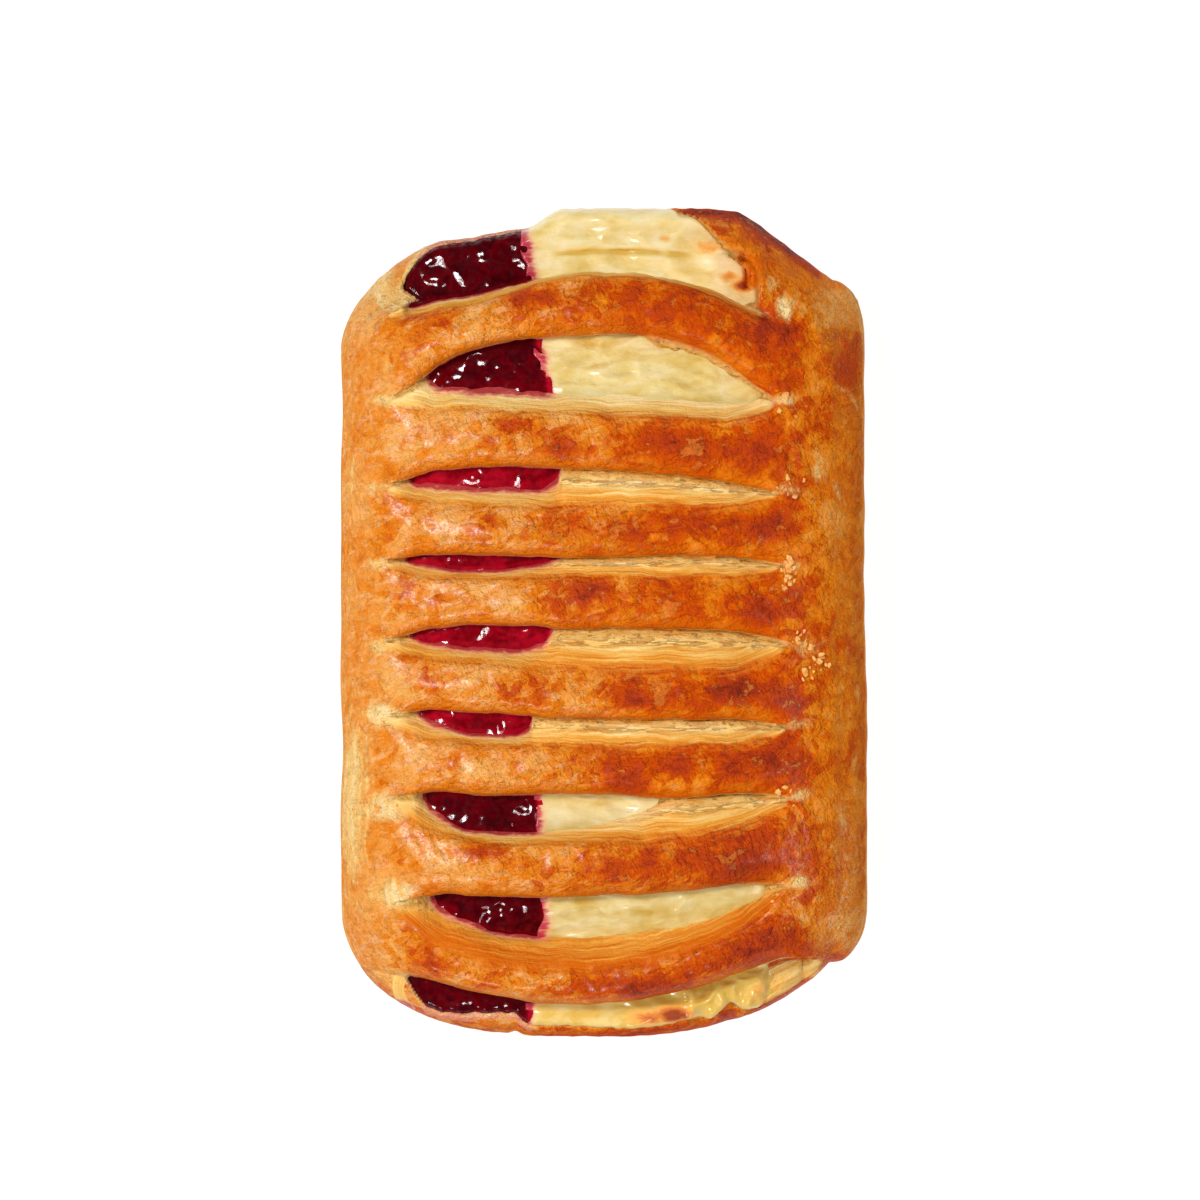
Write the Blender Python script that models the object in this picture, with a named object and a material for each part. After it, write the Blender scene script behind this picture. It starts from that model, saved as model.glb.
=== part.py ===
"""A rectangular cherry and cheese danish, lying flat.

The laminated crust is one solid: a base sheet whose sides rise and close over the top as eight
strips with seven slits between them, open at both ends. Two fillings run side by side through the
tunnel inside it, cherry on the left and sweet cheese on the right.

+X is to the right, +Y is towards the far end, +Z is up, and the origin is on the ground under the
middle. All sizes here are millimetres, and MM turns them into the metres of the scene.
"""

import math

import bmesh
import bpy
from mathutils import Vector, noise

MM = 0.001

# Outside of the baked pastry
LENGTH = 130.0
WIDTH = 83.2
HEIGHT = 30.0
HALF_LENGTH = LENGTH / 2
HALF_WIDTH = WIDTH / 2
END_SAG = 4.6  # the crests at the two ends are lower by this much
SAG_STARTS = 34.0  # distance from the middle where that begins
CORNER_DROP = 22.0  # how far the rounded ends fall back at the corners
CORNER_ACROSS = 2.6  # the two powers of the curve that rounds them
CORNER_ALONG = 1.9
FOLDED_FULLNESS = 3.0  # the left side is a fold, squarer in section
SEALED_FULLNESS = 2.3  # the right side is pressed shut, and slopes
WIDEST_HEIGHT = 9.0
RIM_HEIGHT = 7.6  # the base sheet's edge at the open ends

# The pressed seam along the right border: a step down to the sheet below, and a notch at its corners
SEAM_PLACE = 37.2
SEAM_WAVE = (1.6, 11.0)
SEAM_STEP = 0.9
SEAM_SLOPE = 1.0
NOTCH_PLACE = 35.4
NOTCH_DEPTH = 1.3
NOTCH_WIDTH = 1.3

# The ledge round the foot, where the upper sheet ends on the base sheet
LEDGE_SHARE = 0.86
LEDGE_INSET = 0.9
BULGE_SHARE = 0.48
BULGE_INSET = 0.3
FOOT_INSET = 2.4

# The tunnel that holds the fillings
BASE_THICKNESS = 6.0
TOP_THICKNESS = 7.6
TUNNEL_LEFT = 36.0
TUNNEL_RIGHT = 31.0
TUNNEL_FULLNESS = 3.4
TUNNEL_SIDE_HEIGHT = 9.5
END_WALL = 4.5  # the side walls keep this thickness where they turn in at the ends
END_LIP = 2.0  # the base sheet's turned-up edge at the open ends
TUNNEL_END = HALF_LENGTH - END_LIP

# The strips, from the far end to the near one. Each has the foot of its cut face, its crest and its
# near edge, as (place along the length at mid-width, how far the line bows back at the slit's tips).
STRIPS = (
    ((56.8, 6.6), (54.6, 7.6), (45.4, 8.4)),
    ((35.5, 1.0), (32.3, 0.2), (23.6, 0.8)),
    ((21.5, 0.3), (17.8, 0.0), (10.1, 0.0)),
    ((8.3, 0.0), (6.7, 0.0), (-0.6, 0.0)),
    ((-4.0, -1.2), (-7.0, -1.5), (-14.1, -0.4)),
    ((-16.9, -1.4), (-19.2, -1.6), (-27.0, -0.2)),
    ((-32.3, -3.4), (-34.2, -3.4), (-42.4, -1.6)),
    ((-48.3, -5.4), (-51.9, -6.0), (-59.5, -5.0)),
)
BOW_CENTRE = -2.0
BOW_SPAN = 27.0
BOW_TURN = 1.9
LEAST_GAP = 0.8

# The stations across one strip: (the line before it, the share of the way to the next line, the
# share of the height from the slit's floor to the crest). The lines are foot, crest and near edge,
# and past the near edge the share is of the way that the side tucks in under the strip.
FOOT, CREST, NEAR = 0, 1, 2
CUT_FACE = ((FOOT, 0.0, 0.0), (FOOT, 0.28, 0.36), (FOOT, 0.52, 0.60), (FOOT, 0.80, 0.82))
ROUND_TOP = ((CREST, 0.0, 0.92), (CREST, 0.22, 1.0), (CREST, 0.54, 1.0), (CREST, 0.82, 0.90))
NEAR_SIDE = ((NEAR, 0.0, 0.62), (NEAR, 1.0, 0.0))
STATIONS = CUT_FACE + ROUND_TOP + NEAR_SIDE
TUCK_UNDER = 1.0
TUCK_AT_BORDER = -0.4  # where a slit has run out, the near side falls forward instead
APRON = (0.40, 0.76, 1.0)  # stations between the outer strips and the ends
APRON_ROUNDING = 2.4  # how the border rounds off at the corners
APRON_FALL = 0.3  # and how quickly the base sheet falls away in the open ends

# The slits: where their tips are, and how deep they go
LEFT_TIP = -37.5
RIGHT_TIP = 31.5
TIP_LENGTH = 6.0
SLIT_BELOW_FILLING = 2.0
BORDER_GROOVE = 0.03  # a shallow trace of each slit runs on over the borders

# The fillings
PIECE_GAP = 0.3  # clearance between any two pieces
FACET_EASE = 0.6  # more of it where both surfaces curve, because their facets cut corners
FILLING_SPLIT = -10.0
CHERRY_END_MARGIN = 3.4
CHEESE_END_MARGIN = 3.0
END_TAPER = 1.02  # the fillings turn in a little sooner than the tunnel does
NOSE_LENGTH = 9.0
NOSE_HEIGHT = 2.6

# Relief, as (height, size of one bump)
BLISTERS = (0.45, 6.5)
LAYER_RIDGE = 0.22
CHERRY_LUMPS = (1.3, 5.0)
CHEESE_WAVES = (0.7, 9.0)

CRUST_COLUMNS = 46
TUNNEL_COLUMNS, TUNNEL_ROWS = 20, 40
CHERRY_COLUMNS, CHERRY_ROWS = 12, 46
CHEESE_COLUMNS, CHEESE_ROWS = 14, 40


def smooth(share):
    """An even rise from 0 to 1."""
    share = min(max(share, 0.0), 1.0)
    return share * share * (3 - 2 * share)


def mix(low, high, share):
    """The value at a share of the way from low to high."""
    return low + (high - low) * share


def bump(x, y, z, relief, seed):
    """Uneven relief between plus and minus its height."""
    height, size = relief
    return height * noise.noise(Vector((x, y, z)) / size + Vector((seed, seed, seed)))


def end_line(x):
    """How far from the middle the rounded end lies, on the line at x."""
    across = min(abs(x) / HALF_WIDTH, 1.0) ** CORNER_ACROSS
    notch = NOTCH_DEPTH * math.exp(-(((x - NOTCH_PLACE) / NOTCH_WIDTH) ** 2))
    return HALF_LENGTH - CORNER_DROP * (1 - (1 - across) ** (1 / CORNER_ALONG)) - notch


def crest_height(y):
    """The height of the top along the length."""
    return HEIGHT - END_SAG * smooth((abs(y) - SAG_STARTS) / (HALF_LENGTH - SAG_STARTS))


def dome(x, y):
    """The crust's outer surface, before the slits."""
    fullness = FOLDED_FULLNESS if x < 0 else SEALED_FULLNESS
    across = min(abs(x) / HALF_WIDTH, 1.0)
    arch = (1 - across**fullness) ** (1 / fullness)
    seam = SEAM_PLACE + bump(0.0, y, 0.0, SEAM_WAVE, 5.0)
    step = SEAM_STEP * smooth((x - seam) / SEAM_SLOPE) * arch
    return mix(WIDEST_HEIGHT, crest_height(y), arch) - step


def tunnel_side(y, side):
    """The tunnel's wall on one side, -1 or 1. It turns in like the outline at the ends."""
    straight = HALF_LENGTH - CORNER_DROP
    along = min(max(abs(y) - straight, 0.0) / (TUNNEL_END - straight), 1.0) ** CORNER_ALONG
    turned_in = (HALF_WIDTH - END_WALL) * (1 - along) ** (1 / CORNER_ACROSS)
    reach = TUNNEL_LEFT if side < 0 else TUNNEL_RIGHT
    return side * min(reach, max(turned_in, 1.0))


def tunnel_roof(x, y):
    """The underside of the strips."""
    reach = TUNNEL_LEFT if x < 0 else TUNNEL_RIGHT
    across = min(abs(x) / reach, 1.0)
    arch = (1 - across**TUNNEL_FULLNESS) ** (1 / TUNNEL_FULLNESS)
    return mix(TUNNEL_SIDE_HEIGHT, crest_height(y) - TOP_THICKNESS, arch)


def line_at(line, x):
    """A strip's bowed line, at x."""
    middle, bow = line
    turn = 1 - math.cos(BOW_TURN * (x - BOW_CENTRE) / BOW_SPAN)
    return middle - bow * turn / (1 - math.cos(BOW_TURN))


def strip_lines(x):
    """Every strip's foot, crest and near edge at x, kept in order where the slits close."""
    lines = []
    last = end_line(x)
    for strip in STRIPS:
        placed = []
        for line in strip:
            last = min(line_at(line, x), last - LEAST_GAP)
            placed.append(last)
        lines.append(placed)
    # The near corners push the lines back, where the outline turns in.
    last = -end_line(x)
    for placed in reversed(lines):
        for k in (NEAR, CREST, FOOT):
            last = max(placed[k], last + LEAST_GAP)
            placed[k] = last
    return lines


def slit_depth(x):
    """How far a slit goes down at x: 1 between its tips, and almost 0 over the borders."""
    opened = smooth((x - LEFT_TIP) / TIP_LENGTH) * smooth((RIGHT_TIP - x) / TIP_LENGTH)
    return mix(BORDER_GROOVE, 1.0, opened)


def strip_point(x, strip, station):
    """A point on the outside of a strip."""
    lines = strip_lines(x)[strip]
    line, share, height = station
    tucked = lines[NEAR] + mix(TUCK_AT_BORDER, TUCK_UNDER, slit_depth(x))
    y = mix(lines[line], (*lines[CREST:], tucked)[line], share)
    top = dome(x, y)
    floor = tunnel_roof(x, y) - SLIT_BELOW_FILLING
    z = top - (1 - height) * (top - min(floor, top)) * slit_depth(x)
    return Vector((x, y, z))


def crust_point(across, along, station_rows):
    """Places one point of the crust's grid: across is -1 to 1, and along picks a row."""
    x = HALF_WIDTH * math.sin(across * math.pi / 2)
    kind, strip, station = station_rows[along]
    if kind == "strip":
        point = strip_point(x, strip, station)
    else:
        side = 1 if kind == "far" else -1
        outer = strip_point(x, 0, STATIONS[0]) if side > 0 else strip_point(x, -1, STATIONS[-1])
        y = mix(outer.y, side * end_line(x), station)
        fall = station ** mix(APRON_ROUNDING, APRON_FALL, slit_depth(x))
        point = Vector((x, y, mix(outer.z, RIM_HEIGHT, fall)))
    if kind == "strip" and station in CUT_FACE[1:]:
        ridge = LAYER_RIDGE if CUT_FACE.index(station) % 2 else -LAYER_RIDGE
        point.y += ridge * slit_depth(x)
    edge = 1 - abs(across) ** 8
    point.z += edge * bump(point.x, point.y, 0.0, BLISTERS, 3.0)
    return point


def crust_rows():
    """The rows of the crust's grid, from the far end to the near one."""
    rows = [("far", 0, share) for share in reversed(APRON)]
    for strip in range(len(STRIPS)):
        rows += [("strip", strip, station) for station in STATIONS]
    return rows + [("near", 0, share) for share in APRON]


def filling_point(x, y, relief, margin, seed):
    """A point on top of a filling, which rounds off towards the open ends."""
    roof = tunnel_roof(x, y) - PIECE_GAP - FACET_EASE - abs(bump(x, y, 0.0, relief, seed))
    inside = max(end_line(x) - margin - abs(y), 0.0) / NOSE_LENGTH
    nose = (1 - (1 - min(inside, 1.0)) ** 2.4) ** (1 / 2.4)
    return Vector((x, y, mix(BASE_THICKNESS + NOSE_HEIGHT, roof, nose)))


def grid_solid(name, columns, rows, place, skirts):
    """A closed solid: a grid shaped by place(across, row), with its rim carried down.

    Each skirt is (height as a share of the rim's height, or as a height where it is negative,
    and how far it is set in towards the middle). The last one is the flat underside.
    """
    bm = bmesh.new()
    bmesh.ops.create_grid(bm, x_segments=columns, y_segments=rows - 1, size=1.0)
    for vert in bm.verts:
        row = round((1 - vert.co.y) / 2 * (rows - 1))
        vert.co = place(vert.co.x, row)
    rim = [edge for edge in bm.edges if edge.is_boundary]
    heights = {vert: vert.co.z for edge in rim for vert in edge.verts}
    places = {vert: vert.co.copy() for vert in heights}
    for share, inset in skirts:
        made = bmesh.ops.extrude_edge_only(bm, edges=rim)["geom"]
        below = [item for item in made if isinstance(item, bmesh.types.BMVert)]
        rim = [item for item in made if isinstance(item, bmesh.types.BMEdge)]
        rim = [edge for edge in rim if all(vert in below for vert in edge.verts)]
        above = {}
        for vert in below:
            for edge in vert.link_edges:
                other = edge.other_vert(vert)
                if other in heights:
                    above[vert] = other
        next_heights, next_places = {}, {}
        for vert in below:
            height, at = heights[above[vert]], places[above[vert]]
            inward = Vector((at.x / HALF_WIDTH, at.y / HALF_LENGTH, 0.0)).normalized() * inset
            vert.co = Vector((at.x, at.y, 0.0)) - inward
            vert.co.z = height * share if share >= 0 else -share
            next_heights[vert], next_places[vert] = height, at
        heights, places = next_heights, next_places
    bmesh.ops.contextual_create(bm, geom=rim)
    bmesh.ops.recalc_face_normals(bm, faces=bm.faces)
    bmesh.ops.scale(bm, vec=(MM, MM, MM), verts=bm.verts)
    mesh = bpy.data.meshes.new(name)
    bm.to_mesh(mesh)
    bm.free()
    solid = bpy.data.objects.new(name, mesh)
    bpy.context.scene.collection.objects.link(solid)
    return solid


def finish(solid, colour, roughness):
    """Smooth shading and one plain material."""
    solid.data.shade_smooth()
    solid.data.set_sharp_from_angle(angle=math.radians(50))
    material = bpy.data.materials.new(solid.name)
    material.use_nodes = True
    shader = material.node_tree.nodes["Principled BSDF"]
    shader.inputs["Base Color"].default_value = (*colour, 1.0)
    shader.inputs["Roughness"].default_value = roughness
    shader.inputs["Metallic"].default_value = 0.0
    solid.data.materials.append(material)


def make_tunnel():
    """The cutter that opens the slits and both ends."""

    def place(across, row):
        turn = mix(math.pi / 2, -math.pi / 2, row / (TUNNEL_ROWS - 1))
        y = math.sin(turn) * TUNNEL_END
        x = abs(tunnel_side(y, math.copysign(1, across))) * math.sin(across * math.pi / 2)
        return Vector((x, y, tunnel_roof(x, y)))

    skirts = ((-BASE_THICKNESS, 0.0),)
    tunnel = grid_solid("tunnel", TUNNEL_COLUMNS, TUNNEL_ROWS, place, skirts)
    tunnel.hide_render = True
    tunnel.display_type = "WIRE"
    return tunnel


def make_crust():
    """The crust: a loaf with the strips in its top, opened by the tunnel."""
    rows = crust_rows()
    skirts = (
        (LEDGE_SHARE, LEDGE_INSET),
        (BULGE_SHARE, BULGE_INSET),
        (0.0, FOOT_INSET),
    )
    crust = grid_solid(
        "crust", CRUST_COLUMNS, len(rows), lambda u, row: crust_point(u, row, rows), skirts
    )
    cut = crust.modifiers.new("tunnel", "BOOLEAN")
    cut.operation = "DIFFERENCE"
    cut.object = make_tunnel()
    finish(crust, (0.58, 0.24, 0.05), 0.45)
    return crust


def make_filling(name, columns, rows, relief, margin, seed):
    """One filling, from the far open end to the near one."""
    length = HALF_LENGTH - margin - 0.2

    def place(across, row):
        y = mix(1, -1, row / (rows - 1)) * length
        share = (across + 1) / 2
        if name == "cherry_filling":
            wall = tunnel_side(y * END_TAPER, -1) + PIECE_GAP + FACET_EASE
            ends = (min(wall, FILLING_SPLIT - 1.0), FILLING_SPLIT - PIECE_GAP / 2)
        else:
            wall = tunnel_side(y * END_TAPER, 1) - PIECE_GAP - FACET_EASE
            ends = (FILLING_SPLIT + PIECE_GAP / 2, wall)
        return filling_point(mix(*ends, share), y, relief, margin, seed)

    return grid_solid(name, columns, rows, place, ((-BASE_THICKNESS - PIECE_GAP, 0.0),))


def make_fillings():
    """Cherry on the left, sweet cheese on the right."""
    cherry = make_filling(
        "cherry_filling", CHERRY_COLUMNS, CHERRY_ROWS, CHERRY_LUMPS, CHERRY_END_MARGIN, 11.0
    )
    finish(cherry, (0.10, 0.003, 0.006), 0.15)
    cheese = make_filling(
        "cheese_filling", CHEESE_COLUMNS, CHEESE_ROWS, CHEESE_WAVES, CHEESE_END_MARGIN, 23.0
    )
    finish(cheese, (0.83, 0.62, 0.24), 0.4)


def main():
    for old in list(bpy.data.objects):
        bpy.data.objects.remove(old)
    make_crust()
    make_fillings()


main()
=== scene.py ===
"""The looks of a cherry and cheese danish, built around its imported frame.

The crust is one closed skin: eight browned strips over seven slits, the borders, the laminated cut
faces and the side wall down to the flat underside. Cherry and sweet cheese fillings rise in the
slits and at both open ends, and loose flakes lie on the borders. Sizes are millimetres until a
mesh is finished. +X is right, +Y is the far end and +Z is up.
"""

from __future__ import annotations

import logging
import math
from dataclasses import dataclass, field
from enum import Enum

import bpy
import numpy as np
from mathutils import Euler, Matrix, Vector, noise

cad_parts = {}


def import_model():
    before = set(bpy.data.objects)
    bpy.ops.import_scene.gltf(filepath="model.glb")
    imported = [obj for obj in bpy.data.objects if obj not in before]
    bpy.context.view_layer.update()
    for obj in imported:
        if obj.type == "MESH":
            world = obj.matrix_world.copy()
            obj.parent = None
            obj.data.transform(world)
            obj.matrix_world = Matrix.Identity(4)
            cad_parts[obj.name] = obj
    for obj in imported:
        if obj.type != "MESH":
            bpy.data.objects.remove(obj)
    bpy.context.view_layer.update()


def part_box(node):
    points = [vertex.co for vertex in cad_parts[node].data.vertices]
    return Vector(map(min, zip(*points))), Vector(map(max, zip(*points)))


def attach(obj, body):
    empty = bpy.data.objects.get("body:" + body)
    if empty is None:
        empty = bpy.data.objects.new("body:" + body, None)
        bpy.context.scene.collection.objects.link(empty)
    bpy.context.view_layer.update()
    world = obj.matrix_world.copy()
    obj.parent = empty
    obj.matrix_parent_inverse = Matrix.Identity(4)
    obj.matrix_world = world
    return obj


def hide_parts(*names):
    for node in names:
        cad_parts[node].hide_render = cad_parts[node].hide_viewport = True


MM = 0.001
RELIEF_ROOM = 0.75  # Millimetres kept free above the smooth top, for its waves and blisters.
LOG = logging.getLogger("danish")
Array = np.ndarray
Colour = tuple[float, float, float]


def smooth(share: Array | float) -> Array:
    """An even rise from 0 to 1."""
    held = np.clip(share, 0.0, 1.0)
    return held * held * (3 - 2 * held)


def mix(low: Array | float, high: Array | float, share: Array | float) -> Array:
    """The value at a share of the way from low to high."""
    return low + (high - low) * share


def rounding(share: Array | float, power: float = 2.2) -> Array:
    """A quarter round: steep at 0 and level at 1, and fuller with a greater power."""
    held = np.clip(share, 0.0, 1.0)
    return (1 - (1 - held) ** power) ** (1 / power)


def band(place: Array, start: float, rise: float, end: Array | float, fall: float) -> Array:
    """A share that rises from 0 past a start, and falls back to 0 before an end."""
    return smooth((place - start) / rise) * smooth((end - place) / fall)


def hill(place: Array | float, middle: float, reach: float) -> Array:
    """A soft hill: 1 at its middle, a third at its reach and nearly 0 at twice that."""
    return np.exp(-(((place - middle) / reach) ** 2))


def grain(x: Array, y: Array, z: Array | float, size: float, seed: float, octaves: int = 1) -> Array:
    """Uneven values from about -1 to 1 over a set of points.

    Args:
        x, y, z: the places, as arrays of one shape or plain numbers.
        size: the size of one bump.
        seed: moves to another part of the pattern.
        octaves: how many finer patterns are laid on top.

    Returns:
        One value for each point.
    """
    x, y, z = np.broadcast_arrays(x, y, z)
    places = np.stack([x.ravel(), y.ravel(), z.ravel()], axis=1) / size + seed
    if octaves == 1:
        values = [noise.noise(Vector(place)) for place in places.tolist()]
    else:
        values = [noise.fractal(Vector(place), 1.0, 2.1, octaves) for place in places.tolist()]
    return np.array(values).reshape(x.shape)


def srgb(red: int, green: int, blue: int) -> Colour:
    """A colour as a screen shows it, turned into the linear values that a shader takes."""
    shares = [channel / 255 for channel in (red, green, blue)]
    return tuple(c / 12.92 if c <= 0.04045 else ((c + 0.055) / 1.055) ** 2.4 for c in shares)


class Value:
    """A number socket that takes part in Python arithmetic."""

    def __init__(self, tree: Tree, socket: bpy.types.NodeSocket) -> None:
        """Wraps a socket of a tree."""
        self.tree = tree
        self.socket = socket

    def __add__(self, other: Value | float) -> Value:
        """self + other."""
        return self.tree.maths("ADD", self, other)

    def __sub__(self, other: Value | float) -> Value:
        """self - other."""
        return self.tree.maths("SUBTRACT", self, other)

    def __rsub__(self, other: float) -> Value:
        """other - self."""
        return self.tree.maths("SUBTRACT", other, self)

    def __mul__(self, other: Value | float) -> Value:
        """self * other."""
        return self.tree.maths("MULTIPLY", self, other)

    __radd__ = __add__
    __rmul__ = __mul__


class Tree:
    """The nodes of one material."""

    def __init__(self, name: str) -> None:
        """Starts a material with an empty node tree.

        Args:
            name: the material's name.
        """
        self.material = bpy.data.materials.new(name)
        self.material.use_nodes = True
        self.material.node_tree.nodes.clear()
        coordinates = self.add("ShaderNodeTexCoord").outputs["Object"]
        scaled = self.add(
            "ShaderNodeVectorMath", {"operation": "SCALE"}, {"Vector": coordinates, "Scale": 1 / MM}
        )
        self.place = scaled.outputs["Vector"]

    def add(self, kind: str, settings: dict | None = None, inputs: dict | None = None) -> bpy.types.Node:
        """Adds a node.

        Args:
            kind: the node's type.
            settings: its options, which are set first. "stops" are a colour ramp's.
            inputs: a value or a link for each input, by name or number.

        Returns:
            The node.
        """
        node = self.material.node_tree.nodes.new(kind)
        for name, setting in (settings or {}).items():
            if name == "stops":
                self._set_stops(node.color_ramp, setting)
            else:
                setattr(node, name, setting)
        for name, given in (inputs or {}).items():
            source = given.socket if isinstance(given, Value) else given
            if isinstance(source, bpy.types.NodeSocket):
                self.material.node_tree.links.new(source, node.inputs[name])
            else:
                node.inputs[name].default_value = source
        return node

    @staticmethod
    def _set_stops(ramp: bpy.types.ColorRamp, stops: tuple) -> None:
        """Sets a ramp's stops, each (place, colour).

        Args:
            ramp: the ramp.
            stops: its stops, in order.
        """
        while len(ramp.elements) < len(stops):
            ramp.elements.new(1.0)
        for element, (place, colour) in zip(ramp.elements, stops):
            element.position = place
            element.color = (*colour, 1.0)

    def maths(self, operation: str, first: Value | float, second: Value | float = 0.0) -> Value:
        """The result of a Math node."""
        node = self.add("ShaderNodeMath", {"operation": operation}, {0: first, 1: second})
        return Value(self, node.outputs[0])

    def step(self, value: Value, low: float, high: float) -> Value:
        """An even rise from 0 to 1 as the value goes from low to high."""
        inputs = {"Value": value, "From Min": low, "From Max": high}
        node = self.add("ShaderNodeMapRange", {"interpolation_type": "SMOOTHSTEP"}, inputs)
        return Value(self, node.outputs[0])

    def attribute(self, name: str) -> Value:
        """A mask painted on the mesh."""
        return Value(self, self.add("ShaderNodeAttribute", {"attribute_name": name}).outputs["Fac"])

    def noise(
        self,
        size: float | Colour,
        seed: float,
        detail: float = 3.0,
        roughness: float = 0.55,
        distortion: float = 0.0,
        place: bpy.types.NodeSocket | None = None,
    ) -> Value:
        """Noise from 0 to 1, centred on a half.

        Args:
            size: the size of one bump in millimetres, or one along each axis.
            seed: moves to another part of the pattern.
            detail: how many finer patterns are laid on top.
            roughness: how strong the finer ones are.
            distortion: how far the pattern is stirred.
            place: where it is read, or None for the point's own place.

        Returns:
            The value of the noise.
        """
        sizes = (size, size, size) if isinstance(size, (int, float)) else size
        moved = self.add(
            "ShaderNodeVectorMath",
            {"operation": "MULTIPLY_ADD"},
            {0: place or self.place, 1: tuple(1 / s for s in sizes), 2: (seed, seed, seed)},
        )
        inputs = {
            "Vector": moved.outputs["Vector"],
            "Scale": 1.0,
            "Detail": detail,
            "Roughness": roughness,
            "Distortion": distortion,
        }
        return Value(self, self.add("ShaderNodeTexNoise", None, inputs).outputs["Fac"])

    def ramp(self, value: Value, *stops: tuple[float, Colour]) -> bpy.types.NodeSocket:
        """The colour of a ramp at a value."""
        return self.add("ShaderNodeValToRGB", {"stops": stops}, {"Fac": value}).outputs["Color"]

    def blend(
        self,
        first: bpy.types.NodeSocket | Colour,
        second: bpy.types.NodeSocket | Colour,
        factor: Value,
        kind: str = "MIX",
    ) -> bpy.types.NodeSocket:
        """Two colours mixed by a factor.

        Args:
            first, second: the colours.
            factor: how much of the second there is.
            kind: how they are mixed.

        Returns:
            The mixed colour.
        """
        colours = [(*c, 1.0) if isinstance(c, tuple) else c for c in (first, second)]
        settings = {"data_type": "RGBA", "blend_type": kind, "clamp_factor": True}
        node = self.add("ShaderNodeMix", settings, {0: factor, 6: colours[0], 7: colours[1]})
        return node.outputs[2]

    def vector(self, x: Value | float, y: Value | float, z: Value | float) -> bpy.types.NodeSocket:
        """A vector from three numbers."""
        return self.add("ShaderNodeCombineXYZ", None, {0: x, 1: y, 2: z}).outputs[0]

    def split(self, vector: bpy.types.NodeSocket) -> tuple[Value, Value, Value]:
        """A vector's three numbers."""
        node = self.add("ShaderNodeSeparateXYZ", None, {0: vector})
        return tuple(Value(self, socket) for socket in node.outputs)

    def bump(self, height: Value, depth: float, strength: float = 1.0) -> bpy.types.NodeSocket:
        """A normal bent by a height, whose full range is a depth in millimetres."""
        inputs = {"Height": height, "Distance": depth * MM, "Strength": strength}
        return self.add("ShaderNodeBump", None, inputs).outputs["Normal"]

    def finish(self, inputs: dict) -> bpy.types.Material:
        """Ends the tree in a Principled shader with these inputs.

        Args:
            inputs: a value or a link for each of the shader's inputs.

        Returns:
            The material.
        """
        shader = self.add("ShaderNodeBsdfPrincipled", None, inputs)
        self.add("ShaderNodeOutputMaterial", None, {"Surface": shader.outputs[0]})
        return self.material


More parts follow.
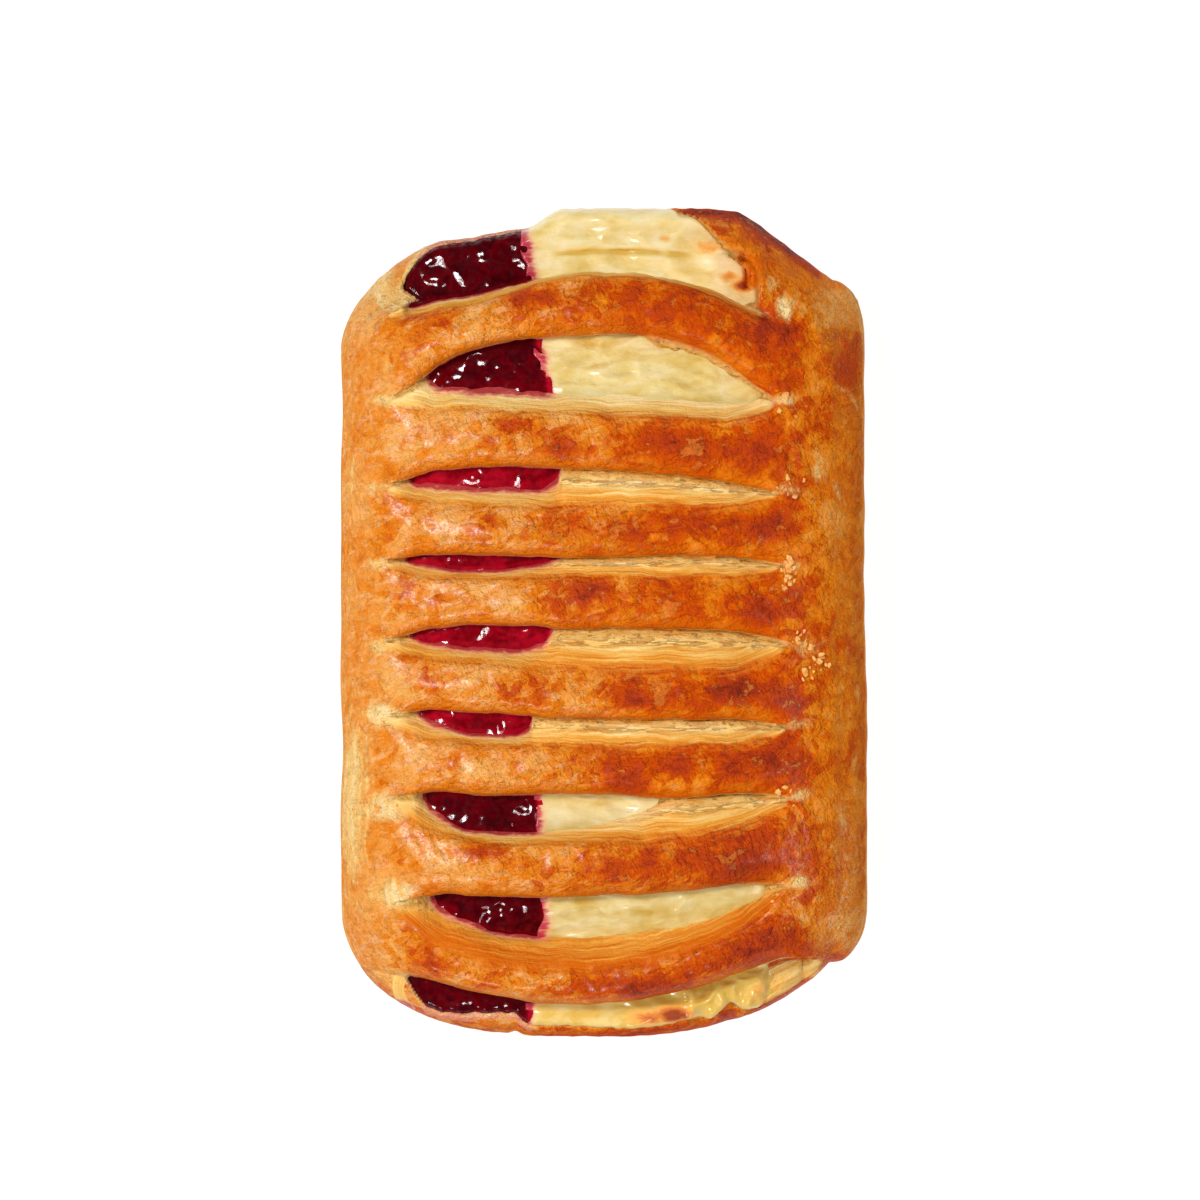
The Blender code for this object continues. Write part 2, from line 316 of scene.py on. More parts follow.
class CrustPatterns:
    """The masks painted on the crust, and the patterns that its colours, relief and shine share."""

    def __init__(self) -> None:
        """Starts the crust's material, reads its masks and lays the patterns."""
        t = self.tree = Tree("crust")
        self.bake, self.edge, self.rise = t.attribute("bake"), t.attribute("edge"), t.attribute("rise")
        self.wall, self.pale = t.attribute("wall"), t.attribute("pale")
        self.crumb, self.glossy = t.attribute("crumb"), t.attribute("gloss")
        across, along, self.up = t.split(t.place)
        self.aside, self.endward = t.maths("ABSOLUTE", across), t.maths("ABSOLUTE", along)
        self.slanted = t.vector(across + along * 0.4, along - across * 0.4, self.up)
        self._lay_skin(t)
        self._lay_layers(t, across)

    def _lay_skin(self, t: Tree) -> None:
        """The patterns of the baked skin, from the broadest to the finest.

        Args:
            t: the crust's tree.
        """
        self.broad = t.noise(7.0, 3.1, 2.0)
        self.mottle = t.noise(2.4, 7.7, 3.0, 0.5, 0.5)
        self.fine = t.noise(0.55, 1.3, 3.0, 0.6)
        self.wrinkles = t.noise((0.6, 1.5, 1.0), 33.0, 2.0, 0.5, 0.4, self.slanted)
        self.crinkles = t.noise((1.7, 0.6, 1.0), 39.0, 2.0, 0.5, 0.4, self.slanted)
        # Skin that blistered and tore as it baked lies in patches with crisp edges.
        self.patches = t.step(t.noise((5.0, 3.4, 3.0), 63.0, 4.0, 0.5, 1.0, self.slanted), 0.52, 0.54)
        self.scraps = t.step(t.noise((2.0, 1.5, 1.5), 64.0, 3.0, 0.5, 0.6, self.slanted), 0.56, 0.58)
        # Where the top skin has flaked off, a lighter layer shows.
        flaking = t.noise((2.6, 2.2, 2.0), 21.0, 5.0, 0.6, 0.3, self.slanted)
        self.peeled = t.step(flaking + t.attribute("peel") * 0.2, 0.61, 0.64)
        # Painted sheen: pale pinkish patches for the glaze's highlight, where the skin browned least.
        self.painted_sheen_patches = t.step(t.noise((3.4, 1.5, 2.0), 91.0, 4.0, 0.6, 0.8, self.slanted), 0.54, 0.63)
        faded = self.pale + (self.mottle - 0.5) * 1.1 + (self.fine - 0.5) * 0.4
        self.washed_out = t.step(faded, 0.22, 0.8)
        soaked = t.noise((1.8, 0.7, 1.0), 27.0, 4.0, 0.6, 0.5)
        self.stained = t.attribute("stain") + (soaked - 0.5) * 1.1
        self.bleed = t.step(self.stained, 0.5, 0.95)
        self.low = t.step(self.up, 2.6, 0.4)

    def _lay_layers(self, t: Tree, across: Value) -> None:
        """The patterns of the cut faces: fine layers, and crumb with its pores and splits.

        Args:
            t: the crust's tree.
            across: the place across the pastry.
        """
        # The layers' pattern is long across and thin from layer to layer.
        stirred = t.attribute("layer") + (self.broad - 0.5) * 3.0
        lines = t.noise(1.0, 5.0, 2.0, 0.6, 0.0, t.vector(across * 0.1, stirred * 0.7, self.up * 0.1))
        thin = t.noise(1.0, 9.0, 1.0, 0.5, 0.0, t.vector(across * 0.16, stirred * 1.6, 4.0))
        self.laminated = (lines - 0.5) * 0.78 + (thin - 0.5) * 0.62
        # Towards the crest the layers brown in streaks until they pass into the skin.
        rag = t.noise((1.8, 0.6, 0.8), 71.0, 3.0, 0.6)
        self.cut = t.step(t.attribute("cut") - self.laminated * 0.4 + (rag - 0.5) * 0.5, 0.22, 0.78)
        self.grit = t.noise((1.1, 0.5, 0.6), 14.0, 4.0, 0.65)
        self.pores = t.step(t.noise((1.5, 0.7, 1.0), 14.0, 4.0, 0.65), 0.60, 0.66) * self.crumb
        splits = t.noise((2.6, 0.45, 1.0), 37.0, 3.0, 0.6)
        self.cracked = t.attribute("crack") * t.step(splits, 0.5, 0.56)


@dataclass(frozen=True)
class CrustFinish:
    """Egg-washed laminated dough: browned tops, pale cut faces, stained where the juice ran."""

    golden: Colour = srgb(236, 166, 84)
    orange: Colour = srgb(225, 125, 18)
    brown: Colour = srgb(199, 74, 2)
    dark: Colour = srgb(174, 56, 18)
    burnt: Colour = srgb(130, 40, 22)
    amber_light: Colour = srgb(226, 118, 6)
    amber_dark: Colour = srgb(190, 66, 2)
    cream: Colour = srgb(246, 220, 158)
    layer_light: Colour = srgb(235, 193, 112)
    layer_mid: Colour = srgb(222, 150, 54)
    layer_dark: Colour = srgb(204, 98, 12)
    pore: Colour = srgb(174, 106, 46)
    juice: Colour = srgb(170, 22, 48)
    blush: Colour = srgb(226, 146, 122)
    # Painted sheen: the colour of a highlight on the glaze.
    painted_sheen: Colour = srgb(240, 184, 134)
    base: Colour = srgb(176, 98, 44)
    # Painted shade, multiplied into the crumb low in the slits.
    painted_shade: Colour = (0.86, 0.83, 0.78)
    wall_light: Colour = srgb(240, 198, 126)
    wall_dark: Colour = srgb(212, 132, 46)
    roughness: float = 0.7
    glaze_roughness: float = 0.26
    translucence: float = 0.12

    def build(self) -> bpy.types.Material:
        """Makes the material.

        Returns:
            The crust's material.
        """
        p = CrustPatterns()
        return p.tree.finish(
            {
                "Base Color": self._colour(p),
                "Roughness": self.roughness - p.bleed * 0.3,
                "Specular IOR Level": 0.02,
                "Coat Weight": self._shine(p),
                "Coat Roughness": self.glaze_roughness,
                "Subsurface Weight": self.translucence,
                "Subsurface Radius": (1.0, 0.42, 0.16),
                "Subsurface Scale": MM,
                "Normal": p.tree.bump(self._relief(p), 1.0, 1.0),
            }
        )

    def _skin(self, p: CrustPatterns) -> bpy.types.NodeSocket:
        """The browned skin, with its painted sheen.

        Args:
            p: the crust's patterns.

        Returns:
            Its colour.
        """
        t = p.tree
        # The borders are evener than the strips.
        even = t.step(p.aside, 31.0, 36.0) * -0.45 + 1.0
        baked = (p.broad - 0.5) * 0.7 + (p.mottle - 0.5) * 0.42 + (p.fine - 0.5) * 0.1
        baked = baked + (0.5 - p.wrinkles) * 0.26 + (p.patches - 0.4) * 0.15 + (p.scraps - 0.3) * 0.07
        baked = p.bake + baked * even
        skin = t.ramp(
            baked,
            (0.0, self.golden),
            (0.27, self.orange),
            (0.50, self.brown),
            (0.76, self.dark),
            (1.0, self.burnt),
        )
        skin = t.blend(skin, t.blend(self.golden, self.orange, p.mottle), p.peeled * 0.35)
        # Painted sheen: pale pinkish highlight patches on the glossier, lightly browned tops.
        skin = t.blend(skin, self.painted_sheen, p.painted_sheen_patches * p.glossy * t.step(baked, 0.46, 0.2) * 0.42)
        ambered = p.bake + (p.mottle - 0.5) * 0.4
        amber = t.ramp(ambered, (0.2, self.amber_light), (0.6, self.amber_dark))
        return t.blend(skin, amber, p.edge * 0.85)

    def _washed(self, p: CrustPatterns) -> bpy.types.NodeSocket:
        """The pale dough that shows where the skin hardly browned.

        Args:
            p: the crust's patterns.

        Returns:
            Its colour.
        """
        return p.tree.ramp(
            p.fine * 0.3 + p.laminated * 0.8 + p.mottle * 0.2 + p.pale * 0.3 + 0.05,
            (0.36, self.golden),
            (0.48, self.layer_light),
            (0.64, self.cream),
        )

    def _faces(self, p: CrustPatterns, washed: bpy.types.NodeSocket) -> bpy.types.NodeSocket:
        """The laminated cut faces, and the crumb low on them.

        Args:
            p: the crust's patterns.
            washed: the colour of pale dough.

        Returns:
            Their colour.
        """
        t = p.tree
        faces = t.ramp(
            p.rise * 0.64 + p.laminated + (p.fine - 0.5) * 0.1 + 0.10,
            (0.0, self.cream),
            (0.24, self.layer_light),
            (0.52, self.layer_mid),
            (0.88, self.layer_dark),
        )
        faces = t.blend(faces, washed, p.washed_out * 0.5)
        crumbs = t.ramp(
            p.grit * 0.5 + p.mottle * 0.3 + p.laminated * 0.6 - 0.02,
            (0.28, self.layer_mid),
            (0.48, self.layer_light),
            (0.72, self.cream),
        )
        # Painted shade: the crumb low in the slits and under the near edges is darkened.
        crumbs = t.blend(crumbs, self.painted_shade, p.crumb, "MULTIPLY")
        crumbs = t.blend(crumbs, self.pore, p.pores * 0.6)
        faces = t.blend(faces, crumbs, p.crumb)
        return t.blend(faces, self.pore, p.cracked * 0.65)

    def _colour(self, p: CrustPatterns) -> bpy.types.NodeSocket:
        """The skin, cut faces, walls, underside and stains together.

        Args:
            p: the crust's patterns.

        Returns:
            The crust's colour.
        """
        t = p.tree
        washed = self._washed(p)
        skin = t.blend(self._skin(p), washed, p.washed_out * 0.82)
        pits = t.step(t.noise((0.9, 0.6, 1.0), 57.0, 2.0, 0.6), 0.62, 0.68) * t.step(p.pale, 0.4, 0.7)
        skin = t.blend(skin, self.pore, pits * t.step(p.aside, 37.0, 35.5) * 0.6)
        colour = t.blend(skin, self._faces(p, washed), t.maths("MAXIMUM", p.cut, p.crumb))
        streaks = t.step(p.laminated, -0.12, 0.2)
        colour = t.blend(colour, t.blend(self.wall_light, self.wall_dark, streaks), p.wall * 0.85)
        colour = t.blend(colour, t.blend(self.base, self.brown, p.mottle), p.low)
        colour = t.blend(colour, self.blush, t.step(p.stained, 0.22, 0.55) * 0.75)
        return t.blend(colour, self.juice, p.bleed * 0.88)

    def _relief(self, p: CrustPatterns) -> Value:
        """The fine relief that the mesh is too coarse for.

        Args:
            p: the crust's patterns.

        Returns:
            Its height in millimetres.
        """
        t = p.tree
        creases = t.maths("ABSOLUTE", t.noise((2.6, 1.7, 2.0), 45.0, 3.0, 0.55, 0.5, p.slanted) - 0.5)
        relief = ((p.wrinkles - 0.5) * 0.6 + (p.crinkles - 0.5) * 0.4) * (p.glossy * 0.6 + 0.4)
        relief = relief + (t.noise(0.4, 17.0, 2.0) - 0.5) * (p.glossy * 0.14 + 0.05)
        relief = relief + (t.noise(1.5, 51.0, 2.0) - 0.5) * 0.5
        relief = relief + (t.step(creases, 0.0, 0.08) - 0.7) * 0.12 - p.peeled * 0.12
        relief = relief + (p.patches - 0.5) * 0.07 + (p.scraps - 0.3) * 0.035
        bare = t.maths("MAXIMUM", p.cut, p.wall)
        relief = relief * (1 - bare * 0.75) + p.laminated * bare * -0.2
        return relief + (p.grit - 0.5) * p.crumb * 0.5 - p.pores * 0.35 - p.cracked * 0.25

    def _shine(self, p: CrustPatterns) -> Value:
        """The egg wash's shine, on the top alone. It sparkles in specks, not in sheets.

        Args:
            p: the crust's patterns.

        Returns:
            The weight of the glaze.
        """
        t = p.tree
        shine = (1 - t.maths("MAXIMUM", p.cut, p.crumb) * 0.8) * (1 - p.wall * 0.8) * (1 - p.low)
        specks = t.step(t.noise(0.42, 83.0, 2.0, 0.6), 0.42, 0.62)
        shine = shine * (1 - p.washed_out * 0.5) * (specks * 0.75 + 0.25)
        shine = shine * t.step(p.aside, 41.0, 36.0)
        shine = shine * t.step(p.endward, 65.0, 60.0)
        return shine * (p.glossy * 0.3 + 0.1 + (p.broad - 0.5) * 0.24)


@dataclass(frozen=True)
class CherryFinish:
    """Wet cherry filling: nearly black in the thick, crimson where it is thin."""

    deep: Colour = srgb(58, 0, 6)
    red: Colour = srgb(112, 0, 12)
    crimson: Colour = srgb(188, 12, 40)
    roughness: float = 0.5
    wet_roughness: float = 0.08

    def build(self) -> bpy.types.Material:
        """Makes the material.

        Returns:
            The cherry filling's material.
        """
        t = Tree("cherry")
        thin = t.attribute("thin")
        clouds = t.noise(2.6, 2.0, 4.0, 0.6, 0.6)
        skin = t.noise(0.75, 8.0, 2.0, 0.55)
        # Small berries' skins stand up in clusters, and the rest is smooth.
        clusters = t.step(t.noise(3.4, 15.0, 2.0), 0.44, 0.58)
        colour = t.ramp(
            clouds * 0.7 + thin + (skin - 0.5) * 0.15,
            (0.26, self.deep),
            (0.62, self.red),
            (1.05, self.crimson),
        )
        return t.finish(
            {
                "Base Color": colour,
                "Roughness": self.roughness,
                "Specular IOR Level": 0.0,
                "Coat Weight": t.step(t.noise(0.9, 22.0, 2.0), 0.42, 0.62) * 0.42 + 0.08,
                "Coat Roughness": self.wet_roughness,
                "Normal": t.bump(clouds * 0.3 + (skin - 0.5) * (clusters * 0.75 + 0.25), 0.3, 1.0),
            }
        )


@dataclass(frozen=True)
class CheeseFinish:
    """Baked sweet cheese: satin and pale yellow, browned in spots, pink beside the cherry."""

    pale: Colour = srgb(243, 225, 174)
    yellow: Colour = srgb(234, 208, 136)
    deep: Colour = srgb(216, 176, 78)
    # Painted shade, multiplied into the cheese that lies in the slits.
    painted_shade: Colour = (0.80, 0.81, 0.80)
    golden: Colour = srgb(236, 172, 78)
    browned: Colour = srgb(210, 120, 44)
    burnt: Colour = srgb(158, 66, 28)
    blush: Colour = srgb(230, 172, 134)
    pink: Colour = srgb(186, 40, 66)
    roughness: float = 0.45
    wetness: float = 0.45
    wet_roughness: float = 0.15
    translucence: float = 0.25

    def build(self) -> bpy.types.Material:
        """Makes the material.

        Returns:
            The cheese filling's material.
        """
        t = Tree("cheese")
        stain, toast, crease = t.attribute("stain"), t.attribute("toast"), t.attribute("crease")
        clouds = t.noise((5.4, 2.6, 3.0), 4.0, 2.0, 0.4, 0.4)
        curd = t.noise((1.6, 1.0, 1.0), 12.0, 3.0, 0.5)
        colour = t.ramp(
            clouds + (curd - 0.5) * 0.4 - crease * 0.55,
            (0.12, self.deep),
            (0.44, self.yellow),
            (0.70, self.pale),
        )
        # Painted shade: the cheese lying in the slits, under the strips, is darkened.
        colour = t.blend(colour, self.painted_shade, t.attribute("slit_shade"), "MULTIPLY")
        spots = t.noise((1.8, 1.1, 1.1), 31.0, 4.0, 0.6, 0.8)
        toasted = toast + (spots - 0.5) * 0.9 * t.step(toast, 0.02, 0.3)
        colour = t.blend(colour, self.golden, t.step(toasted, 0.15, 0.65))
        colour = t.blend(colour, self.browned, t.step(toasted, 0.5, 0.95))
        colour = t.blend(colour, self.burnt, t.step(toasted, 0.9, 1.3))
        streak = t.noise((2.2, 0.7, 1.0), 19.0, 4.0, 0.6, 0.8)
        stained = stain + (streak - 0.5) * 0.9
        colour = t.blend(colour, self.blush, t.step(stained, 0.2, 0.75) * 0.7)
        colour = t.blend(colour, self.pink, t.step(stained, 0.6, 1.05))
        return t.finish(
            {
                "Base Color": colour,
                "Roughness": self.roughness,
                "Specular IOR Level": 0.2,
                "Coat Weight": self.wetness,
                "Coat Roughness": self.wet_roughness,
                "Subsurface Weight": self.translucence,
                "Subsurface Radius": (1.0, 0.7, 0.35),
                "Subsurface Scale": 1.5 * MM,
                "Normal": t.bump(clouds * 0.4 + curd * 0.55, 0.5, 1.0),
            }
        )


@dataclass(frozen=True)
class FlakeFinish:
    """Dry loose flakes of pastry."""

    light: Colour = srgb(236, 176, 92)
    dark: Colour = srgb(218, 136, 50)

    def build(self) -> bpy.types.Material:
        """Makes the material.

        Returns:
            The flakes' material.
        """
        t = Tree("flakes")
        mottle = t.noise(0.9, 6.0, 3.0)
        colour = t.ramp(mottle, (0.35, self.dark), (0.6, self.light))
        normal = t.bump(mottle, 0.2, 0.6)
        return t.finish({"Base Color": colour, "Roughness": 0.5, "Normal": normal})


@dataclass(frozen=True)
class FloorFinish:
    """A plain white sweep."""

    white: Colour = (0.12, 0.12, 0.12)
    glow: float = 0.95

    def build(self) -> bpy.types.Material:
        """Makes the material.

        Returns:
            The floor's material.
        """
        t = Tree("floor")
        return t.finish(
            {
                "Base Color": (*self.white, 1.0),
                "Roughness": 0.9,
                "Emission Color": (1.0, 1.0, 1.0, 1.0),
                "Emission Strength": self.glow,
            }
        )


@dataclass(frozen=True)
class Curve:
    """A smooth line across the pastry: its place along the length at each station."""

    places: tuple[float, ...]
    stations: tuple[float, ...] = (-33.0, -20.0, -6.0, 12.0, 28.0)

    def at(self, x: Array) -> Array:
        """The line's place at x, held level past the last stations.

        Args:
            x: places across.

        Returns:
            The line's place along the length at each.
        """
        stations, places = np.array(self.stations), np.array(self.places)
        slopes = np.gradient(places, stations)
        k = np.clip(np.searchsorted(stations, x) - 1, 0, len(stations) - 2)
        span = stations[k + 1] - stations[k]
        t = np.clip((x - stations[k]) / span, 0.0, 1.0)
        start = (2 * t**3 - 3 * t**2 + 1) * places[k] + (t**3 - 2 * t**2 + t) * span * slopes[k]
        end = (3 * t**2 - 2 * t**3) * places[k + 1] + (t**3 - t**2) * span * slopes[k + 1]
        return start + end


@dataclass(frozen=True)
class Spot:
    """A soft oval spot: its place, its half-lengths across and along, and its strength."""

    x: float
    y: float
    across: float
    along: float
    strength: float

    def at(self, x: Array, y: Array) -> Array:
        """The spot's strength at x and y."""
        return self.strength * np.exp(
            -(((x - self.x) / self.across) ** 2) - ((y - self.y) / self.along) ** 2
        )


def strongest(x: Array, y: Array, spots: tuple[Spot, ...]) -> Array:
    """The strength of the strongest spot at each point.

    Args:
        x, y: the points' places.
        spots: the spots.

    Returns:
        One value for each point, from 0.
    """
    value = np.zeros(np.broadcast(x, y).shape)
    for spot in spots:
        value = np.maximum(value, spot.at(x, y))
    return value


@dataclass(frozen=True)
class Strip:
    """One strip of the top: the foot of its cut face, its crest and its near edge.

    Toasted darkens the cut face. Torn is where crumb shows under the near edge: from, to and how
    wide.
    """

    foot: Curve
    crest: Curve
    near: Curve
    toasted: float = 0.0
    torn: tuple[float, float, float] = (0.0, 0.0, 0.0)


@dataclass(frozen=True)
class Corner:
    """A rounded corner of the outline: how far it falls back, and how full and how soft it is."""

    drop: float
    fullness: float
    softness: float

    def at(self, x: Array, reach: float, length: float) -> Array:
        """How far from the middle the end lies at x, where it is length away and reach wide."""
        share = np.minimum(np.abs(x) / reach, 1.0) ** self.fullness
        return length - self.drop * (1 - (1 - share) ** (1 / self.softness))


@dataclass(frozen=True)
class Flap:
    """The corner of the sheet below, which sticks out past the notch on the right."""

    reach: float
    start: float
    radius: float
    drop: float = 9.0

    def at(self, x: Array) -> Array:
        """How far from the middle the flap ends at x, or 0 where there is none."""
        share = np.clip((x - self.start) / self.radius, 0.0, 1.0)
        return np.where(x > self.start - 2, self.reach - self.drop * (1 - np.sqrt(1 - share**2)), 0.0)


@dataclass(frozen=True)
class Slit:
    """A slit, or the mouth at one end: its tips, and between where it gapes over the filling.

    The tapers are how fast it opens from each side, and a blunt one opens at a steeper angle.
    """

    left_tip: float
    right_tip: float
    open_left: float
    open_right: float
    left_taper: float = 9.0
    right_taper: float = 8.0
    left_blunt: float = 1.2
    right_blunt: float = 1.2
    tip_length: float = 10.0
    tip_slope: float = 7.0

    def depth(self, x: Array) -> Array:
        """How far the slit is cut down at x, from 0 over the borders to 1."""
        return band(x, self.left_tip, self.tip_slope, self.right_tip, self.tip_slope)

    def spread(self, x: Array) -> Array:
        """How far apart the slit's lines lie at x, from 0 past the tips to 1."""
        left = rounding((x - self.left_tip) / self.tip_length, 1.25)
        return left * rounding((self.right_tip - x) / self.tip_length, 1.25)

    def opened(self, x: Array) -> Array:
        """How far the slit gapes at x, from 0 where it is closed to 1."""
        left = rounding((x - self.open_left) / self.left_taper, self.left_blunt)
        return left * rounding((self.open_right - x) / self.right_taper, self.right_blunt)


class Part(Enum):
    """The parts of the crust's grid, from the far end to the near one."""

    FAR = "far"
    CUT = "cut"
    TOP = "top"
    SIDE = "side"
    FLOOR = "floor"
    NEAR = "near"


@dataclass
class Form:
    """The heights, outline and lines that the crust and the fillings share.

    The top is an arch across the pastry, fuller on its folded left side than on its sealed right
    one, which sags towards the ends. The strips' lines and the slits run from the far end to the
    near one, and the first and last slits are the open ends.
    """

    half_width: float
    half_length: float
    height: float
    base_rim: float = 7.6
    widest_height: float = 9.0
    end_sag: float = 4.6
    sag_starts: float = 34.0
    end_round: float = 15.0
    folded_fullness: float = 3.0
    sealed_fullness: float = 2.3
    filling_depth: float = 4.9
    filling_left: float = 36.0
    filling_right: float = 31.0
    filling_base: float = 6.9
    fold_round: float = 10.5
    fold_starts: float = 21.2
    fold_slope: float = 0.74
    far_left: Corner = Corner(22.0, 2.6, 1.9)
    far_right: Corner = Corner(20.0, 5.0, 1.6)
    near_left: Corner = Corner(20.0, 3.2, 1.9)
    near_right: Corner = Corner(22.0, 2.3, 1.9)
    near_right_reach: float = 40.0
    far_flap: Flap = Flap(53.7, 36.2, 5.45)
    near_flap: Flap = Flap(53.4, 35.8, 5.85)
    seam_line: float = 35.6
    seam_step: float = 0.7
    raggedness: tuple[float, float, float] = (0.3, 0.34, 0.2)
    least_gap: float = 0.1
    closed_gap: float = 0.5
    slit_bed: float = 1.0
    lip_ends: float = 38.0
    strips: tuple[Strip, ...] = (
        Strip(
            Curve((49.6, 51.2, 54.3, 53.2, 47.3)),
            Curve((46.7, 49.0, 53.0, 51.9, 45.4)),
            Curve((36.0, 42.2, 44.3, 43.4, 35.4)),
            0.0,
            (6.0, 29.0, 1.9),
        ),
        Strip(
            Curve((34.6, 36.9, 36.2, 35.3, 34.2)),
            Curve((31.4, 32.2, 31.6, 31.0, 30.0)),
            Curve((22.6, 24.1, 23.9, 22.7, 20.7)),
            -0.34,
        ),
        Strip(
            Curve((21.8, 21.7, 21.6, 22.3, 20.2)),
            Curve((17.8, 17.6, 17.3, 17.3, 18.0)),
            Curve((10.5, 10.6, 10.2, 10.5, 10.0)),
            -0.12,
        ),
        Strip(
            Curve((9.6, 8.4, 9.3, 9.8, 9.2)),
            Curve((6.9, 6.3, 6.8, 6.6, 6.6)),
            Curve((-1.3, -0.2, -0.7, -0.9, -1.5)),
            -0.04,
            (11.0, 31.0, 0.7),
        ),
        Strip(
            Curve((-2.4, -3.2, -3.2, -2.4, -3.0)),
            Curve((-6.2, -6.6, -7.8, -8.0, -7.2)),
            Curve((-12.9, -13.7, -14.5, -14.7, -14.7)),
        ),
        Strip(
            Curve((-13.8, -16.6, -16.1, -15.8, -15.8)),
            Curve((-18.0, -19.0, -19.4, -19.4, -18.7)),
            Curve((-25.0, -26.4, -26.2, -26.7, -25.7)),
            -0.10,
            (12.0, 31.0, 1.0),
        ),
        Strip(
            Curve((-27.8, -31.6, -31.4, -29.8, -27.4)),
            Curve((-31.4, -34.0, -34.3, -33.7, -30.3)),
            Curve((-40.6, -42.1, -42.1, -41.3, -38.8)),
            -0.04,
            (20.0, 31.0, 1.0),
        ),
        Strip(
            Curve((-42.4, -46.6, -48.3, -46.4, -41.2)),
            Curve((-49.6, -52.9, -54.6, -52.0, -45.0)),
            Curve((-53.7, -57.1, -59.2, -57.0, -51.8)),
            0.50,
        ),
    )
    slits: tuple[Slit, ...] = (
        Slit(-36.0, 27.5, -31.4, 27.0, 3.0, 3.0),
        Slit(-35.5, 29.0, -29.8, 28.0, 9.0, 6.0, 1.1, 1.3),
        Slit(-36.0, 29.5, -32.8, -6.3, 12.0, 4.0, 1.3, 1.4),
        Slit(-36.5, 30.0, -34.5, -4.5, 12.0, 11.0, 1.1, 1.0),
        Slit(-36.5, 30.5, -33.0, -6.0, 11.0, 7.0, 1.1, 1.0),
        Slit(-36.0, 30.5, -31.5, -10.9, 10.0, 3.0, 1.1, 1.5),
        Slit(-35.0, 31.0, -29.6, 14.0, 8.0, 18.0, 1.2, 1.0),
        Slit(-34.0, 30.5, -29.6, 28.5, 12.0, 10.0, 1.1, 1.2),
        Slit(-33.5, 31.0, -33.5, 31.0, 4.0, 4.0),
    )
    filling_border: Curve = Curve(
        (-12.0, -9.2, -10.2, -10.6, -8.0, -5.0, -6.0, -9.6, -11.2, -12.6),
        (-62.0, -45.0, -30.0, -15.0, 0.0, 10.0, 23.0, 40.0, 54.0, 61.0),
    )
    far_lip_widths: Curve = Curve(
        (5.5, 3.0, 1.5, 0.9, 0.7, 0.5, 0.0), (-32.2, -30.6, -28.4, -24.5, -20.0, -13.0, -10.5)
    )
    near_lip_widths: Curve = Curve(
        (5.4, 2.4, 2.5, 3.3, 2.2, 2.0, 1.6, 2.0, 1.6, 3.0, 1.6, 1.0, 1.8),
        (-31.5, -28.5, -22.5, -14.2, -12.0, -6.0, 8.0, 15.0, 17.0, 20.0, 21.8, 24.5, 26.0),
    )

    def far_end(self, x: Array) -> Array:
        """How far from the middle the far end lies: set back on the left, and folded on the right.

        Args:
            x: places across.

        Returns:
            One distance for each.
        """
        set_back = 2.6 * smooth((-6.5 - x) / 6.0) * (1 - 0.5 * smooth((-20.0 - x) / 8.0))
        left = self.far_left.at(x, self.half_width, self.half_length) - set_back
        square = self.far_right.at(x, self.half_width, self.half_length)
        # The folded corner is cut off along a slope, which starts softly.
        past = np.logaddexp(0.0, (x - self.fold_starts) * 0.9) / 0.9
        sloped = self.half_length - self.fold_slope * past
        right = np.maximum(np.minimum(square, sloped), self.far_flap.at(x))
        return np.where(x < 0, left, right) - 0.3 * np.abs(grain(x, 0.0, 0.0, 3.6, 66.0, 2))

    def near_end(self, x: Array) -> Array:
        """How far from the middle the near end lies, with the nick left of its middle.

        Args:
            x: places across.

        Returns:
            One distance for each.
        """
        left = self.near_left.at(x, self.half_width, self.half_length)
        right = self.near_right.at(x, self.near_right_reach, self.half_length)
        right = np.maximum(right, self.near_flap.at(x))
        nick = 0.5 * hill(x, -13.9, 0.9)
        return np.where(x < 0, left, right) - 0.35 * np.abs(grain(x, 0.0, 0.0, 4.2, 77.0, 2)) - nick

    def side_share(self, x: Array, y: Array) -> Array:
        """How far the side reaches at y, as a share of the full width, with a ragged right edge.

        Args:
            x, y: the points' places.

        Returns:
            One share for each point.
        """
        left = 0.990 + 0.010 * grain(y, 0.0, 0.0, 13.0, 41.0)
        right = 0.984 + 0.010 * smooth((2 - y) / 14.0) + 0.004 * grain(y, 0.0, 0.0, 5.0, 52.0)
        return np.minimum(np.where(x < 0, left, right), 1.0)

    def border(self, y: Array) -> Array:
        """The line where cherry and cheese meet.

        Args:
            y: places along the length.

        Returns:
            The line's place across at each.
        """
        places = self.filling_border.at(y)
        return places + 0.8 * grain(0.0, y, 0.0, 3.0, 91.0) + 0.22 * grain(0.0, y, 0.0, 1.5, 95.0)

    def crest_height(self, y: Array) -> Array:
        """The height of the top along the length.

        Args:
            y: places along the length.

        Returns:
            One height for each, without the rounded ends.
        """
        sag = smooth((np.abs(y) - self.sag_starts) / (self.half_length - self.sag_starts))
        return self.height - self.end_sag * sag

    def end_distance(self, x: Array, y: Array) -> Array:
        """How far a point lies inside the nearer end of the outline."""
        return np.where(y > 0, self.far_end(x) - y, self.near_end(x) + y)

    def dome(self, x: Array, y: Array) -> Array:
        """The crust's outer surface, before the slits.

        Args:
            x, y: the points' places.

        Returns:
            One height for each point.
        """
        fullness = np.where(x < 0, self.folded_fullness, self.sealed_fullness)
        across = np.minimum(np.abs(x) / self.half_width, 1.0)
        arch = (1 - across**fullness) ** (1 / fullness)
        seam = self.seam_line + 1.6 * grain(0.0, y, 0.0, 9.0, 5.0)
        step = self.seam_step * smooth((x - seam) / 1.8) * arch
        low = mix(self.base_rim, self.widest_height, smooth(arch * 4))
        folded = np.where(y > 0, band(x, 9.5, 2.5, 38.0, 6.0), 0.0)
        ends = rounding(self.end_distance(x, y) / mix(self.end_round, self.fold_round, folded))
        return mix(low, self.crest_height(y), arch * ends) - step * smooth(ends * 2)

